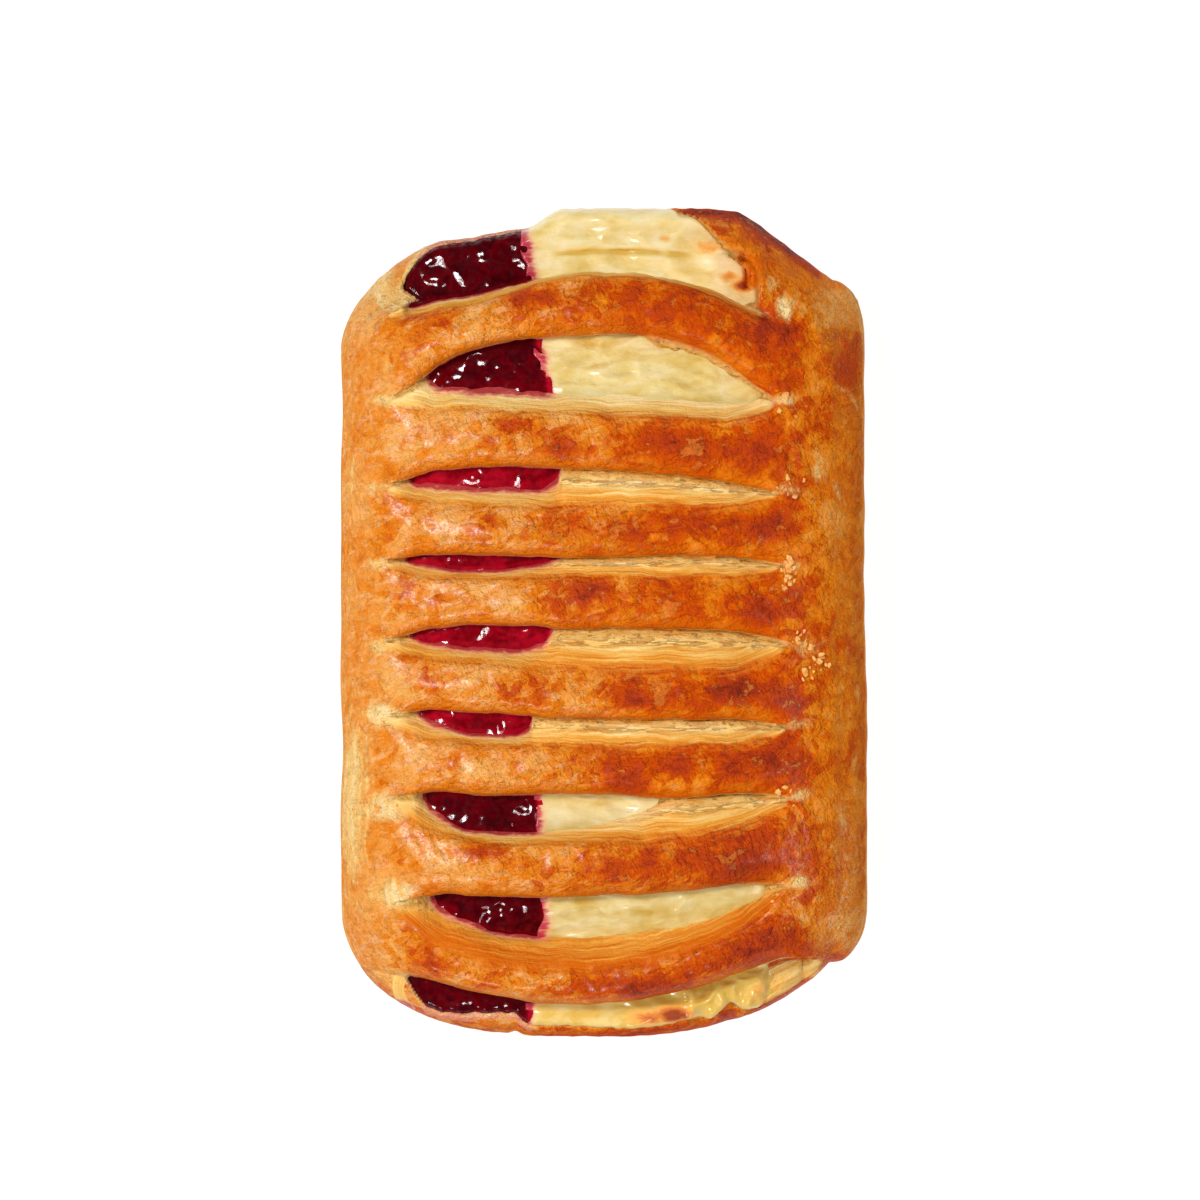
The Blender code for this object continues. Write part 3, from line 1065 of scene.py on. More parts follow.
    def filling_roof(self, x: Array, y: Array) -> Array:
        """The top of the fillings away from the open ends, before their own relief.

        Args:
            x, y: the points' places.

        Returns:
            One height for each point.
        """
        reach = np.where(x < 0, self.filling_left, self.filling_right)
        across = np.minimum(np.abs(x) / reach, 1.0)
        arch = (1 - across**3.4) ** (1 / 3.4)
        sunk = self.filling_depth + 3.0 * smooth((np.abs(y) - 43.0) / 10.0)
        return mix(self.widest_height + 1, self.crest_height(y) - sunk, arch)

    def filling_height(self, x: Array, y: Array) -> Array:
        """The top of the fillings, which fall beside the lips and at the open ends.

        Args:
            x, y: the points' places.

        Returns:
            One height for each point.
        """
        distance = self.end_distance(x, y) - self.end_lip(x, y)
        corners = self._corners(x)
        sunk = mix(0.3, 1.0, corners)
        foot = mix(self.filling_base, self.lip_crown(x, y) - sunk, self.lip(x, y))
        height = mix(foot, self.filling_roof(x, y), rounding(distance / 2.8, 2.4))
        covered = (1 - self.mouth(x, y)) * smooth((np.abs(y) - 49.5) / 1.5)
        beside = np.maximum(corners, 0.4 * smooth((x - self.fold_edge(y) + 1.0) / 1.0) * (y > 0))
        height = height - mix(0.7, 2.5, beside) * covered
        return np.minimum(height, self.dome(x, y) - 2.0 + 30 * self.lip(x, y))

    def lines(self, x: Array) -> list[list[Array]]:
        """Each strip's foot, crest and near edge at x, in order from the far end to the near one.

        Args:
            x: the columns' places.

        Returns:
            Three arrays for each strip.
        """
        found = self._ragged_lines(x)
        self._close_tips(x, found)
        last = self.far_end(x)
        for placed in found:
            for k in range(3):
                placed[k] = last = np.minimum(placed[k], last - self.least_gap)
        last = -self.near_end(x)
        for placed in reversed(found):
            for k in (2, 1, 0):
                placed[k] = last = np.maximum(placed[k], last + self.least_gap)
        return found

    def _ragged_lines(self, x: Array) -> list[list[Array]]:
        """Each strip's lines as the knife and the oven left them, before the tips close.

        Args:
            x: the columns' places.

        Returns:
            Three arrays for each strip.
        """
        found = []
        seed = 0.0
        for strip in self.strips:
            placed = []
            for curve, ragged in zip((strip.foot, strip.crest, strip.near), self.raggedness):
                seed += 7.3
                wobble = ragged * grain(x, 0.0, 0.0, 4.2, seed)
                wobble = wobble + 0.45 * ragged * grain(x, 0.0, 0.0, 1.1, seed)
                placed.append(curve.at(x) + wobble)
            found.append(placed)
        return found

    def _close_tips(self, x: Array, found: list[list[Array]]) -> None:
        """Draws the lines on both sides of each slit together at its tips.

        Args:
            x: the columns' places.
            found: the strips' lines, which are changed.
        """
        found[0][0] = mix(found[0][1], found[0][0], self.slits[0].spread(x))
        for above, here, slit in zip(found, found[1:], self.slits[1:]):
            spread = slit.spread(x)
            tip = mix(above[2], here[1], 0.35)
            gap = np.maximum((above[2] - here[0]) * slit.opened(x), self.closed_gap)
            above[2] = mix(tip, above[2], spread)
            here[0] = mix(tip, above[2] - gap, spread)
            here[1] = mix(tip, here[1], spread)

    def mouth(self, x: Array, y: Array) -> Array:
        """Where the fillings show at the open ends, from 0 to 1.

        Args:
            x, y: the points' places.

        Returns:
            One share for each point.
        """
        distance = self.end_distance(x, y)
        ragged = 0.5 * grain(x, y, 0.0, 2.6, 55.0)
        left_far = -31.9 + 0.05 * np.maximum(y - 52.2, 0.0) ** 2 + np.maximum(52.2 - y, 0.0) ** 1.5
        far = np.minimum(distance - self.far_lip(x), x - left_far) + 0.4 * ragged
        near = np.minimum(distance - self.near_lip(x), x + 31.0) + 0.4 * ragged
        near = np.minimum(near, 25.5 - x + 2 * ragged)
        return smooth(np.where(y > 0, np.minimum(far, self.fold_edge(y) - x), near) / 0.7)

    def fold_edge(self, y: Array) -> Array:
        """The inner edge of the fold at the far right, as a place across at y.

        Args:
            y: places along the length.

        Returns:
            One place across for each.
        """
        edge = 12.6 + (self.half_length - y) * 1.04 + 1.6 * smooth((57.8 - y) / 1.6)
        edge = edge - 2.6 * smooth((y - 62.5) / 2.5) + 0.3 * grain(0.0, y, 0.0, 3.0, 68.0)
        return np.minimum(edge, 24.4)

    def gap(self, x: Array, y: Array) -> Array:
        """The gap between the far cheese and the fold, from 0 to 1.

        Args:
            x, y: the points' places.

        Returns:
            One share for each point.
        """
        beside = smooth((x - self.fold_edge(y) + 2.4) / 0.5)
        return np.where(y > 0, beside * band(y, 51.4, 1.0, 57.6, 1.2), 0.0)

    def far_lip(self, x: Array) -> Array:
        """The width of the sheet's edge that shows beside the filling at the far end."""
        return np.maximum(self.far_lip_widths.at(x), 0.0)

    def near_lip(self, x: Array) -> Array:
        """The width of the sheet's edge that shows beside the filling at the near end."""
        return self.near_lip_widths.at(x) + 0.25 * grain(x, 0.0, 0.0, 1.6, 58.0, 2)

    def end_lip(self, x: Array, y: Array) -> Array:
        """The width of the lip at the nearer end."""
        return np.where(y > 0, self.far_lip(x), self.near_lip(x))

    def lip(self, x: Array, y: Array) -> Array:
        """Where the base sheet's lip lies at the open ends, from 0 to 1.

        Args:
            x, y: the points' places.

        Returns:
            One share for each point.
        """
        far = band(x, -self.lip_ends, 7.0, 12.0, 4.0)
        return np.where(y > 0, far, band(x, -self.lip_ends, 7.0, 34.0, 5.0))

    def _corners(self, x: Array) -> Array:
        """Where the lips rise to close the open ends' corners, from 0 to 1."""
        return np.maximum(smooth((-26.0 - x) / 6.0), smooth((x - 26.0) / 6.0))

    def lip_crown(self, x: Array, y: Array) -> Array:
        """The height of the lip's inner edge: just under the filling, or over it at the corners.

        Args:
            x, y: the points' places.

        Returns:
            One height for each point.
        """
        roof = self.filling_roof(x, y)
        chunks = np.where(y < 0, band(x, 13.0, 1.5, 26.0, 2.0), 0.0)
        low = mix(self.base_rim, roof - 0.7 - 1.6 * chunks, smooth(self.end_lip(x, y) / 1.1))
        return mix(low, roof + 0.8, self._corners(x))

    def lip_height(self, x: Array, y: Array) -> Array:
        """The lip's height, which rises from its foot to its inner edge."""
        share = self.end_distance(x, y) / mix(self.end_lip(x, y) + 0.5, 5.0, self._corners(x))
        return mix(self.base_rim, self.lip_crown(x, y), rounding(share))


@dataclass
class Piece:
    """What every piece of the danish has in common."""

    form: Form

    def flat_grid(self, name: str, columns: int, rows: int, rings: int) -> bpy.types.Object:
        """A flat grid with its rim carried down in rings and closed below.

        Args:
            name: the piece's name.
            columns: how many faces it has across.
            rows: how many faces it has along.
            rings: how many times the rim is extruded. Ring k lies at height -k.

        Returns:
            The new object, from -1 to 1 both ways.
        """
        bpy.ops.object.select_all(action="DESELECT")
        bpy.ops.mesh.primitive_grid_add(x_subdivisions=columns, y_subdivisions=rows, size=2.0)
        piece = bpy.context.object
        piece.name = piece.data.name = name
        bpy.ops.object.mode_set(mode="EDIT")
        bpy.ops.mesh.select_mode(type="EDGE")
        bpy.ops.mesh.select_all(action="DESELECT")
        bpy.ops.mesh.select_non_manifold()
        for _ in range(rings):
            bpy.ops.mesh.extrude_edges_move(TRANSFORM_OT_translate={"value": (0, 0, -1)})
        bpy.ops.mesh.edge_face_add()
        bpy.ops.mesh.select_all(action="SELECT")
        bpy.ops.mesh.normals_make_consistent(inside=False)
        bpy.ops.object.mode_set(mode="OBJECT")
        return piece

    def read_grid(self, piece: bpy.types.Object, columns: int, rows: int) -> tuple[Array, Array, Array]:
        """The column, row from the far end, and ring of each of a flat grid's points.

        Args:
            piece: the grid.
            columns: how many faces it has across.
            rows: how many faces it has along.

        Returns:
            Three arrays of whole numbers.
        """
        flat = np.empty(len(piece.data.vertices) * 3)
        piece.data.vertices.foreach_get("co", flat)
        flat = flat.reshape(-1, 3)
        column = np.rint((flat[:, 0] + 1) / 2 * columns).astype(int)
        row = np.rint((1 - flat[:, 1]) / 2 * rows).astype(int)
        return column, row, np.rint(-flat[:, 2]).astype(int)

    def write(self, piece: bpy.types.Object, places: Array, masks: dict[str, Array]) -> None:
        """Sets a piece's points, in millimetres, and paints its masks.

        Args:
            piece: the object.
            places: its points' new places.
            masks: one value a point for each mask's name.
        """
        piece.data.vertices.foreach_set("co", (places * MM).ravel())
        for name, values in masks.items():
            attribute = piece.data.attributes.new(name, "FLOAT", "POINT")
            attribute.data.foreach_set("value", values.astype(np.float32).ravel())
        piece.data.update()
        bpy.ops.object.select_all(action="DESELECT")
        piece.select_set(True)
        bpy.context.view_layer.objects.active = piece
        bpy.ops.object.shade_smooth()

    def hand_over(self, piece: bpy.types.Object, slot: str, node: str | None) -> None:
        """Joins a finished piece to the frame and reports it.

        Args:
            piece: the object.
            slot: its material slot, which is not used.
            node: the CAD node that it stands for, or None.
        """
        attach(piece, "root")
        if node:
            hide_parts(node)
        triangles = sum(len(face.vertices) - 2 for face in piece.data.polygons)
        LOG.info("%s: %d triangles", piece.name, triangles)


@dataclass(frozen=True)
class StripLines:
    """What the rows of one strip share: one value for each column of the crust's grid.

    Tucked is where the near side meets the floor of the slit below, and next_foot is where that
    floor ends. Deep and deep_below tell how far the slits above and below are cut down, and torn
    tells where crumb shows under the near edge.
    """

    number: int
    toasted: float
    x: Array
    foot: Array
    crest: Array
    near: Array
    tucked: Array
    next_foot: Array
    next_crest: Array | None
    above: Slit
    below: Slit
    deep: Array
    deep_below: Array
    torn: Array
    edge_drop: Array


@dataclass
class Crust(Piece):
    """The baked dough, in one piece.

    Its surface is a grid of columns across the pastry and rows along it. The rows are counted for
    each part of a strip, and crowding draws the columns towards the sides. Seams are the edges of
    sheets that show on the borders. Paled, browned, peeled and glossed are spots of pale dough, of
    deeper browning, of lifted skin and of more glaze, as the photograph shows them.
    """

    columns: int = 236
    cut_rows: int = 13
    top_rows: int = 16
    side_rows: int = 3
    floor_rows: int = 3
    apron_rows: int = 22
    rings: int = 14
    crowding: float = 0.35
    near_drop: float = 3.1
    crest_drop: float = 1.25
    near_slope: float = 0.25
    foot_inset: float = 2.2
    ledge: float = 0.9
    most_lift: float = 0.6
    layer_scale: float = 2.2
    wall_layer_scale: float = 1.1
    border_bake: float = 0.65
    near_rim: float = 0.36
    far_lighter: float = 0.14
    near_lighter: float = 0.07
    gully: float = 0.4
    masks: tuple[str, ...] = tuple(
        "cut layer rise bake edge stain crumb wall pale peel crack gloss".split()
    )
    seams: tuple[tuple[tuple[float, float], ...], ...] = (
        ((-38.8, 34.7), (-39.3, 31.4), (-40.0, 26.3), (-40.2, 21.0)),
        ((-39.6, 19.7), (-40.9, 16.8), (-41.0, 8.7)),
        ((36.3, 22.2), (36.9, 18.0), (37.1, 15.0), (35.9, 12.9), (34.3, 11.4)),
        ((33.4, 47.0), (34.6, 41.0), (36.3, 36.9), (38.9, 35.2), (40.2, 33.4)),
        ((39.9, 3.5), (39.4, 1.3), (39.5, -0.6), (38.9, -3.0), (38.0, -4.7)),
        ((39.6, -9.8), (39.8, -12.8)),
        ((40.0, -17.0), (39.0, -22.0), (39.6, -27.0)),
    )
    paled: tuple[Spot, ...] = (
        Spot(-34.5, 51.5, 5.0, 3.6, 0.8),
        Spot(-31.0, 50.4, 4.4, 1.1, 1.1),
        Spot(-34.4, 53.5, 1.8, 3.2, 1.0),
        Spot(-34.0, 34.2, 3.5, 1.6, 0.8),
        Spot(-34.5, 20.6, 3.5, 1.6, 0.7),
        Spot(-35.0, 9.0, 3.5, 1.4, 0.7),
        Spot(-35.0, -3.6, 3.5, 1.6, 0.7),
        Spot(-39.5, 24.0, 2.4, 16.0, 0.42),
        Spot(-34.5, -14.5, 4.5, 2.2, 1.0),
        Spot(-34.0, -28.5, 4.5, 2.6, 1.0),
        Spot(-33.0, -42.0, 4.5, 3.0, 0.9),
        Spot(-35.5, -55.0, 3.5, 2.4, 0.6),
        Spot(-39.0, -28.0, 3.0, 16.0, 0.9),
        Spot(-37.5, -29.0, 2.6, 3.0, 0.9),
        Spot(-41.0, -44.0, 2.0, 8.0, 0.4),
        Spot(40.8, 20.0, 1.0, 26.0, 0.35),
        Spot(26.4, 52.6, 1.4, 2.0, 0.6),
        Spot(28.4, 48.4, 1.8, 2.4, 0.8),
        Spot(28.5, 34.4, 3.4, 1.2, 0.7),
        Spot(29.5, 20.6, 2.8, 1.2, 0.6),
        Spot(29.5, 8.6, 2.4, 1.4, 0.6),
        Spot(31.5, -4.0, 3.4, 2.2, 0.55),
        Spot(30.5, -15.6, 2.8, 1.3, 0.6),
        Spot(30.5, -26.6, 2.8, 1.4, 0.6),
        Spot(30.0, -40.0, 3.2, 1.6, 0.7),
        Spot(33.5, 24.0, 2.0, 4.0, 0.5),
        Spot(37.0, -30.0, 3.0, 5.0, 0.35),
        Spot(38.0, -48.0, 3.0, 4.0, 0.6),
        Spot(34.0, -55.0, 3.0, 2.0, 0.6),
    )
    browned: tuple[Spot, ...] = (
        Spot(-22.0, 46.5, 7.0, 2.5, 0.14),
        Spot(-25.0, -53.5, 7.0, 2.6, 0.30),
        Spot(12.0, 50.2, 12.0, 3.0, 0.16),
        Spot(38.5, 39.0, 2.4, 3.6, 0.30),
        Spot(24.0, 44.5, 7.0, 3.6, 0.26),
        Spot(-12.0, 50.0, 6.0, 1.4, 0.26),
        Spot(-6.0, 26.8, 3.0, 1.8, 0.36),
        Spot(12.5, 27.0, 8.0, 3.0, 0.26),
        Spot(24.0, 27.0, 5.5, 3.0, 0.26),
        Spot(-12.5, 30.2, 3.4, 1.3, 0.3),
        Spot(23.5, 15.0, 5.2, 2.6, 0.3),
        Spot(12.0, 16.0, 10.0, 1.8, 0.22),
        Spot(-1.5, 5.0, 4.4, 1.6, 0.42),
        Spot(8.5, 3.0, 5.0, 2.8, 0.2),
        Spot(25.0, 1.5, 4.8, 2.6, 0.28),
        Spot(20.5, -11.0, 7.0, 2.6, 0.36),
        Spot(27.5, -12.0, 3.5, 2.0, 0.3),
        Spot(4.0, -12.5, 6.0, 1.6, 0.2),
        Spot(2.5, -24.5, 3.4, 1.6, 0.3),
        Spot(21.0, -22.0, 10.0, 3.2, 0.26),
        Spot(15.0, -38.2, 14.0, 2.6, 0.26),
        Spot(24.5, -33.0, 4.0, 2.4, 0.28),
        Spot(-20.0, -35.0, 5.0, 1.2, 0.3),
        Spot(29.6, -56.1, 1.2, 0.9, 0.9),
        Spot(24.0, -50.5, 8.0, 3.4, 0.3),
        Spot(6.0, -56.5, 14.0, 2.0, 0.26),
    )
    peeled: tuple[Spot, ...] = (
        Spot(14.0, 26.6, 1.6, 2.6, 1.0),
        Spot(2.0, 15.5, 1.3, 1.8, 1.0),
        Spot(9.5, 3.2, 2.0, 2.8, 0.9),
        Spot(8.5, -11.0, 1.1, 2.6, 1.0),
        Spot(-24.6, 14.0, 0.8, 3.0, 0.8),
        Spot(-12.0, 28.0, 3.0, 1.2, 0.7),
        Spot(20.0, -36.0, 2.0, 1.2, 0.7),
    )
    glossed: tuple[Spot, ...] = (
        Spot(25.0, 52.0, 3.0, 4.0, 1.0),
        Spot(18.0, 62.5, 8.0, 1.6, 0.6),
        Spot(38.0, 44.0, 2.5, 5.0, 0.5),
    )
    finish: CrustFinish = field(default_factory=CrustFinish)

    def build(self) -> bpy.types.Object:
        """Makes the crust.

        Returns:
            The crust's object.
        """
        plan = self._plan_rows()
        u = np.linspace(-1, 1, self.columns + 1)
        x = self.form.half_width * mix(u, np.sin(u * math.pi / 2), self.crowding)
        strips = self._measure_strips(x)
        shape = (len(plan), len(x))
        surface = {name: np.zeros(shape) for name in ("x", "y", "z", *self.masks)}
        for k, (part, strip, share) in enumerate(plan):
            for name, values in self._row(strips[strip], part, share).items():
                surface[name][k] = values
        self._add_relief(surface)
        piece = self.flat_grid("danish_crust", self.columns, len(plan) - 1, self.rings)
        column, row, ring = self.read_grid(piece, self.columns, len(plan) - 1)
        at = {name: values[row, column] for name, values in surface.items()}
        self._carry_down(at, ring)
        places = np.stack([at["x"], at["y"], at["z"]], axis=1)
        self.write(piece, places, {name: at[name] for name in self.masks})
        piece.data.materials.append(self.finish.build())
        self.hand_over(piece, "crust", "crust")
        return piece

    def _plan_rows(self) -> list[tuple[Part, int, float]]:
        """The grid's rows from the far end to the near one, as (part, strip, share along it).

        Returns:
            One entry for each row.
        """
        plan = [(Part.FAR, 0, 1 - k / self.apron_rows) for k in range(self.apron_rows)]
        last = len(self.form.strips) - 1
        for strip in range(last + 1):
            plan += [(Part.CUT, strip, k / self.cut_rows) for k in range(self.cut_rows)]
            plan += [(Part.TOP, strip, k / self.top_rows) for k in range(self.top_rows)]
            plan += [(Part.SIDE, strip, k / self.side_rows) for k in range(self.side_rows)]
            if strip < last:
                plan += [(Part.FLOOR, strip, k / self.floor_rows) for k in range(self.floor_rows)]
        return plan + [(Part.NEAR, last, k / self.apron_rows) for k in range(self.apron_rows + 1)]

    def _floor(self, x: Array, y: Array, slit: int) -> Array:
        """The height of a slit's floor: just under the filling, or higher where it is closed.

        Args:
            x, y: the points' places.
            slit: the slit's number from the far end.

        Returns:
            One height for each point.
        """
        gap = self.form.slits[slit]
        top = self.form.dome(x, y)
        opened = self.form.filling_height(x, y) - self.form.slit_bed
        closed = top - self._closed_depth(x)
        floor = mix(closed, np.minimum(opened, top), smooth(gap.opened(x) * 1.8))
        return mix(top, floor, gap.depth(x) ** 1.15)

    @staticmethod
    def _closed_depth(x: Array) -> Array:
        """How deep a slit is where it is closed: shallow at the left tips."""
        return mix(1.5, 2.5, smooth((x + 30.0) / 8.0))

    def _measure_strips(self, x: Array) -> list[StripLines]:
        """Works out what the rows of each strip share.

        Args:
            x: the columns' places.

        Returns:
            One set of lines for each strip, from the far end.
        """
        form = self.form
        lines = form.lines(x)
        found = []
        for k, (foot, crest, near) in enumerate(lines):
            last = k + 1 == len(lines)
            above, below = form.slits[k], form.slits[k + 1]
            deep_below = below.depth(x)
            next_foot = near - 2.0 if last else lines[k + 1][0]
            start, end, width = form.strips[k].torn
            torn = band(x, start, 3.0, end, 3.0) * smooth(width * 9)
            slope = np.minimum(self.near_slope * (1 + grain(x, k * 9.0, 0.0, 5.0, 7.0)), 0.9)
            slope = slope + torn * width * (1 + 0.5 * grain(x, k * 9.0, 0.0, 2.0, 9.0))
            reach = np.minimum(np.maximum(slope * deep_below, 0.03), 0.4 * (near - next_foot))
            shut = 1 - smooth(below.opened(x) * 1.8)
            found.append(
                StripLines(
                    number=k,
                    toasted=form.strips[k].toasted,
                    x=x,
                    foot=foot,
                    crest=crest,
                    near=near,
                    tucked=near - reach,
                    next_foot=next_foot,
                    next_crest=None if last else lines[k + 1][1],
                    above=above,
                    below=below,
                    deep=above.depth(x),
                    deep_below=deep_below,
                    torn=torn,
                    edge_drop=deep_below * mix(self.near_drop, 0.85 * self._closed_depth(x), shut),
                )
            )
        return found

    def _row(self, strip: StripLines, part: Part, share: float) -> dict[str, Array]:
        """One row of the crust's surface.

        Args:
            strip: the lines of its strip.
            part: which part of the strip the row is on.
            share: how far along the part it lies.

        Returns:
            Places and masks by name, as one array each.
        """
        rows = {
            Part.CUT: self._cut_row,
            Part.TOP: self._top_row,
            Part.SIDE: self._side_row,
            Part.FLOOR: self._floor_row,
        }
        if part in rows:
            made = rows[part](strip, share)
        else:
            made = self._apron_row(strip, share, part is Part.FAR)
        x = strip.x
        y, pale = made["y"], made.get("pale", 0.0)
        pale = np.maximum(pale, np.maximum(strongest(x, y, self.paled), 0.5 * self._seam(x, y)))
        glossy = np.maximum(smooth((14.0 - x) / 22.0), smooth((-27.0 - y) / 7.0))
        made["x"] = x
        made["pale"] = pale
        made["stain"] = self._stain(strip, part, made)
        made["peel"] = strongest(x, y, self.peeled)
        made["gloss"] = np.maximum(glossy, strongest(x, y, self.glossed))
        return made

    def _cut_row(self, strip: StripLines, share: float) -> dict[str, Array]:
        """A row of a strip's cut face, which rises from the slit's floor to the crest.

        Args:
            strip: the strip's lines.
            share: how far up the face the row lies.

        Returns:
            Places and masks by name.
        """
        x, deep = strip.x, strip.deep
        y = mix(strip.foot, strip.crest, share)
        top = self.form.dome(x, y) - self.crest_drop * deep
        shut = smooth(deep * 2) * (1 - strip.above.opened(x))
        return {
            "y": y,
            "z": mix(self._floor(x, strip.foot, strip.number), top, share**0.8),
            "cut": smooth(deep * 1.6) * (1 - 0.62 * smooth((share - 0.45) / 0.55)),
            "layer": (y - strip.crest) * self.layer_scale,
            "crumb": shut * smooth((0.26 - share) / 0.22),
            "crack": shut * smooth((x + 27.0) / 6.0) * hill(share, 0.25, 0.10),
            "rise": np.full_like(x, share + strip.toasted),
            "bake": self._browning(x, y, mix(self.border_bake, 0.3, deep)),
        }

    def _top_row(self, strip: StripLines, share: float) -> dict[str, Array]:
        """A row of a strip's browned top, from the crest's curled lip to the near edge.

        Args:
            strip: the strip's lines.
            share: how far along the top the row lies.

        Returns:
            Places and masks by name.
        """
        x, deep = strip.x, strip.deep
        s = mix(share, share * (2 - share), 0.5)
        y = mix(strip.crest, strip.near, s)
        rise = self.crest_drop * deep * np.maximum(1 - s / 0.75, 0) ** 2
        fall = max(s - 0.52, 0) / 0.48
        drop = strip.edge_drop * (1 - math.sqrt(1 - fall**2))
        uneven = 0.5 + grain(x, strip.number * 5.0, 0.0, 3.0, 15.0)
        curl = 0.3 * uneven * max(0.0, 1 - s / 0.12)
        across = np.maximum(deep, strip.deep_below)
        return {
            "y": y,
            "z": self.form.dome(x, y) - rise - drop + curl * deep,
            "cut": smooth(deep * 1.6) * 0.38 * max(0.0, 1 - share * 5),
            "layer": (y - strip.crest) * self.layer_scale,
            "rise": np.full_like(x, 1 + strip.toasted),
            "edge": strip.deep_below * smooth((s - 0.66) / 0.34),
            "bake": self._browning(x, y, mix(self.border_bake, s, across)),
        }

    def _side_row(self, strip: StripLines, share: float) -> dict[str, Array]:
        """A row of a strip's near side, from its edge down to the floor of the slit below.

        Args:
            strip: the strip's lines.
            share: how far down the side the row lies.

        Returns:
            Places and masks by name.
        """
        x, deep = strip.x, strip.deep_below
        y = mix(strip.near, strip.tucked, math.sin(share * math.pi / 2))
        closed = 1 - strip.below.opened(x)
        edge = self.form.dome(x, strip.near) - strip.edge_drop
        floor = self._floor(x, strip.tucked, strip.number + 1) - self.gully * deep * closed
        low = smooth(share * 2 - 0.6)
        last = strip.next_crest is None
        return {
            "y": y,
            "z": mix(edge, floor, share * deep),
            "edge": deep * (1 - share),
            "crumb": deep * np.maximum(low, strip.torn * smooth(share * 5)),
            "crack": 0.3 * deep * np.maximum(closed, 0.7 * strip.torn) * low,
            "layer": y if last else (y - strip.next_crest) * self.layer_scale,
            "bake": self._browning(x, y, mix(self.border_bake, 1.0, deep)),
        }

    def _floor_row(self, strip: StripLines, share: float) -> dict[str, Array]:
        """A row of the floor of the slit below a strip.

        Args:
            strip: the strip's lines.
            share: how far along the floor the row lies.

        Returns:
            Places and masks by name.
        """
        x, deep = strip.x, strip.deep_below
        y = mix(strip.tucked, strip.next_foot, share)
        closed = 1 - strip.below.opened(x)
        groove = self.gully * deep * closed * (1 - share)
        return {
            "y": y,
            "z": self._floor(x, y, strip.number + 1) - groove,
            "crumb": smooth(deep * 2),
            "crack": 0.3 * deep * closed * (1 - share) ** 2,
            "layer": (y - strip.next_crest) * self.layer_scale,
            "bake": self._browning(x, y, mix(self.border_bake, 1.0, deep)),
        }

    def _apron_row(self, strip: StripLines, share: float, far: bool) -> dict[str, Array]:
        """A row of an open end: the sheet's lip, and the bed that the fillings lie on.

        Args:
            strip: the lines of the end's strip.
            share: how far from the strip to the end the row lies.
            far: whether this is the far end.

        Returns:
            Places and masks by name.
        """
        form, x = self.form, strip.x
        start = strip.foot if far else strip.tucked
        reach = form.far_end(x) if far else -form.near_end(x)
        v = share * (1.6 - 0.6 * share)
        y = mix(start, reach, v)
        border = mix(form.dome(x, y), form.lip_height(x, y), form.lip(x, y))
        mouth, gap = form.mouth(x, y), form.gap(x, y)
        bed = np.minimum(form.filling_height(x, y) - form.slit_bed, border)
        entry = self._floor(x, start, strip.number if far else strip.number + 1)
        outer = smooth((2.9 - form.end_distance(x, y)) / 1.8)
        rim = band(x, 11.0, 2.5, 35.0, 2.0) if far else self.near_rim
        lighter = self.far_lighter if far else self.near_lighter
        made = {
            "y": y,
            "z": mix(entry, mix(border, bed, mouth), smooth(v * 8)),
            "crumb": smooth(mouth * 2) * (1 - gap),
            "edge": gap,
            "bake": mix(self._browning(x, y, 0.3) - lighter, 0.95, rim * outer),
            # The pale mask here also carries a painted highlight at the near end.
            "pale": self._lip_pallor_and_highlight(x, y, start, far),
        }
        made.update(self._rolled(x, y, far, smooth(v * 4)))
        return made

    def _lip_pallor_and_highlight(self, x: Array, y: Array, start: Array, far: bool) -> Array:
        """Lip pallor beside the cherry, and a painted highlight at the near end under its last strip.

        Args:
            x, y: the points' places.
            start: where the apron begins.
            far: whether this is the far end.

        Returns:
            The pallor and painted highlight of each point, from 0 to 1.
        """
        beside = band(x, -35.0, 3.0, -9.0, 2.0)
        inner = self.form.end_distance(x, y) - self.form.end_lip(x, y)
        if far:
            return beside * smooth((inner + 1.7) / 0.7)
        edge_highlight = band(x, -2.0, 4.0, 32.0, 4.0)
        lip = beside * (0.7 * smooth((inner + 1.0) / 0.8))
        # Painted highlight: a thin pale line just under the last strip's near edge.
        return np.maximum(lip, edge_highlight * smooth((y - start + 0.5) / 0.3))

    def _rolled(self, x: Array, y: Array, far: bool, begun: float) -> dict[str, Array]:
        """The rolled layers that show at the corners of the open ends, as masks.

        Args:
            x, y: the points' places.
            far: whether this is the far end.
            begun: how far the row lies from the strips, from 0 to 1.

        Returns:
            The cut, layer and rise masks.
        """
        middle = 55.0 if far else -57.0
        around = np.hypot(x + 26.5, (y - middle) * 1.2)
        inner, outer = (7.4, 11.0) if far else (4.3, 7.8)
        left = band(around, inner, 0.8, outer, 1.6)
        left = left * smooth((-29.0 - x) / 1.5) * (0.5 if far else 1.0)
        right = 0.0 if far else band(x, 20.0, 3.0, 35.0, 2.0)
        right = right * smooth((self.form.end_distance(x, y) - 0.9) / 0.5)
        layer = np.where(x < 0, around * self.layer_scale, y * 1.8 - x * 0.9)
        rise = np.where(x < 0, 0.1 if far else 0.34, 0.4)
        return {"cut": np.maximum(left, right) * 0.8 * begun, "layer": layer, "rise": rise}

    def _seam(self, x: Array, y: Array) -> Array:
        """How near a point is to the edge of a sheet that shows on the borders, from 0 to 1.

        Args:
            x, y: the points' places.

        Returns:
            One share for each point.
        """
        nearest = np.full(np.broadcast(x, y).shape, 99.0)
        for line in self.seams:
            for (x0, y0), (x1, y1) in zip(line, line[1:]):
                length = (x1 - x0) ** 2 + (y1 - y0) ** 2
                share = np.clip(((x - x0) * (x1 - x0) + (y - y0) * (y1 - y0)) / length, 0.0, 1.0)
                away = np.hypot(x - mix(x0, x1, share), y - mix(y0, y1, share))
                nearest = np.minimum(nearest, away)
        return hill(nearest, 0.0, 0.7) * (0.75 + 0.5 * grain(x, y, 0.0, 2.0, 87.0))

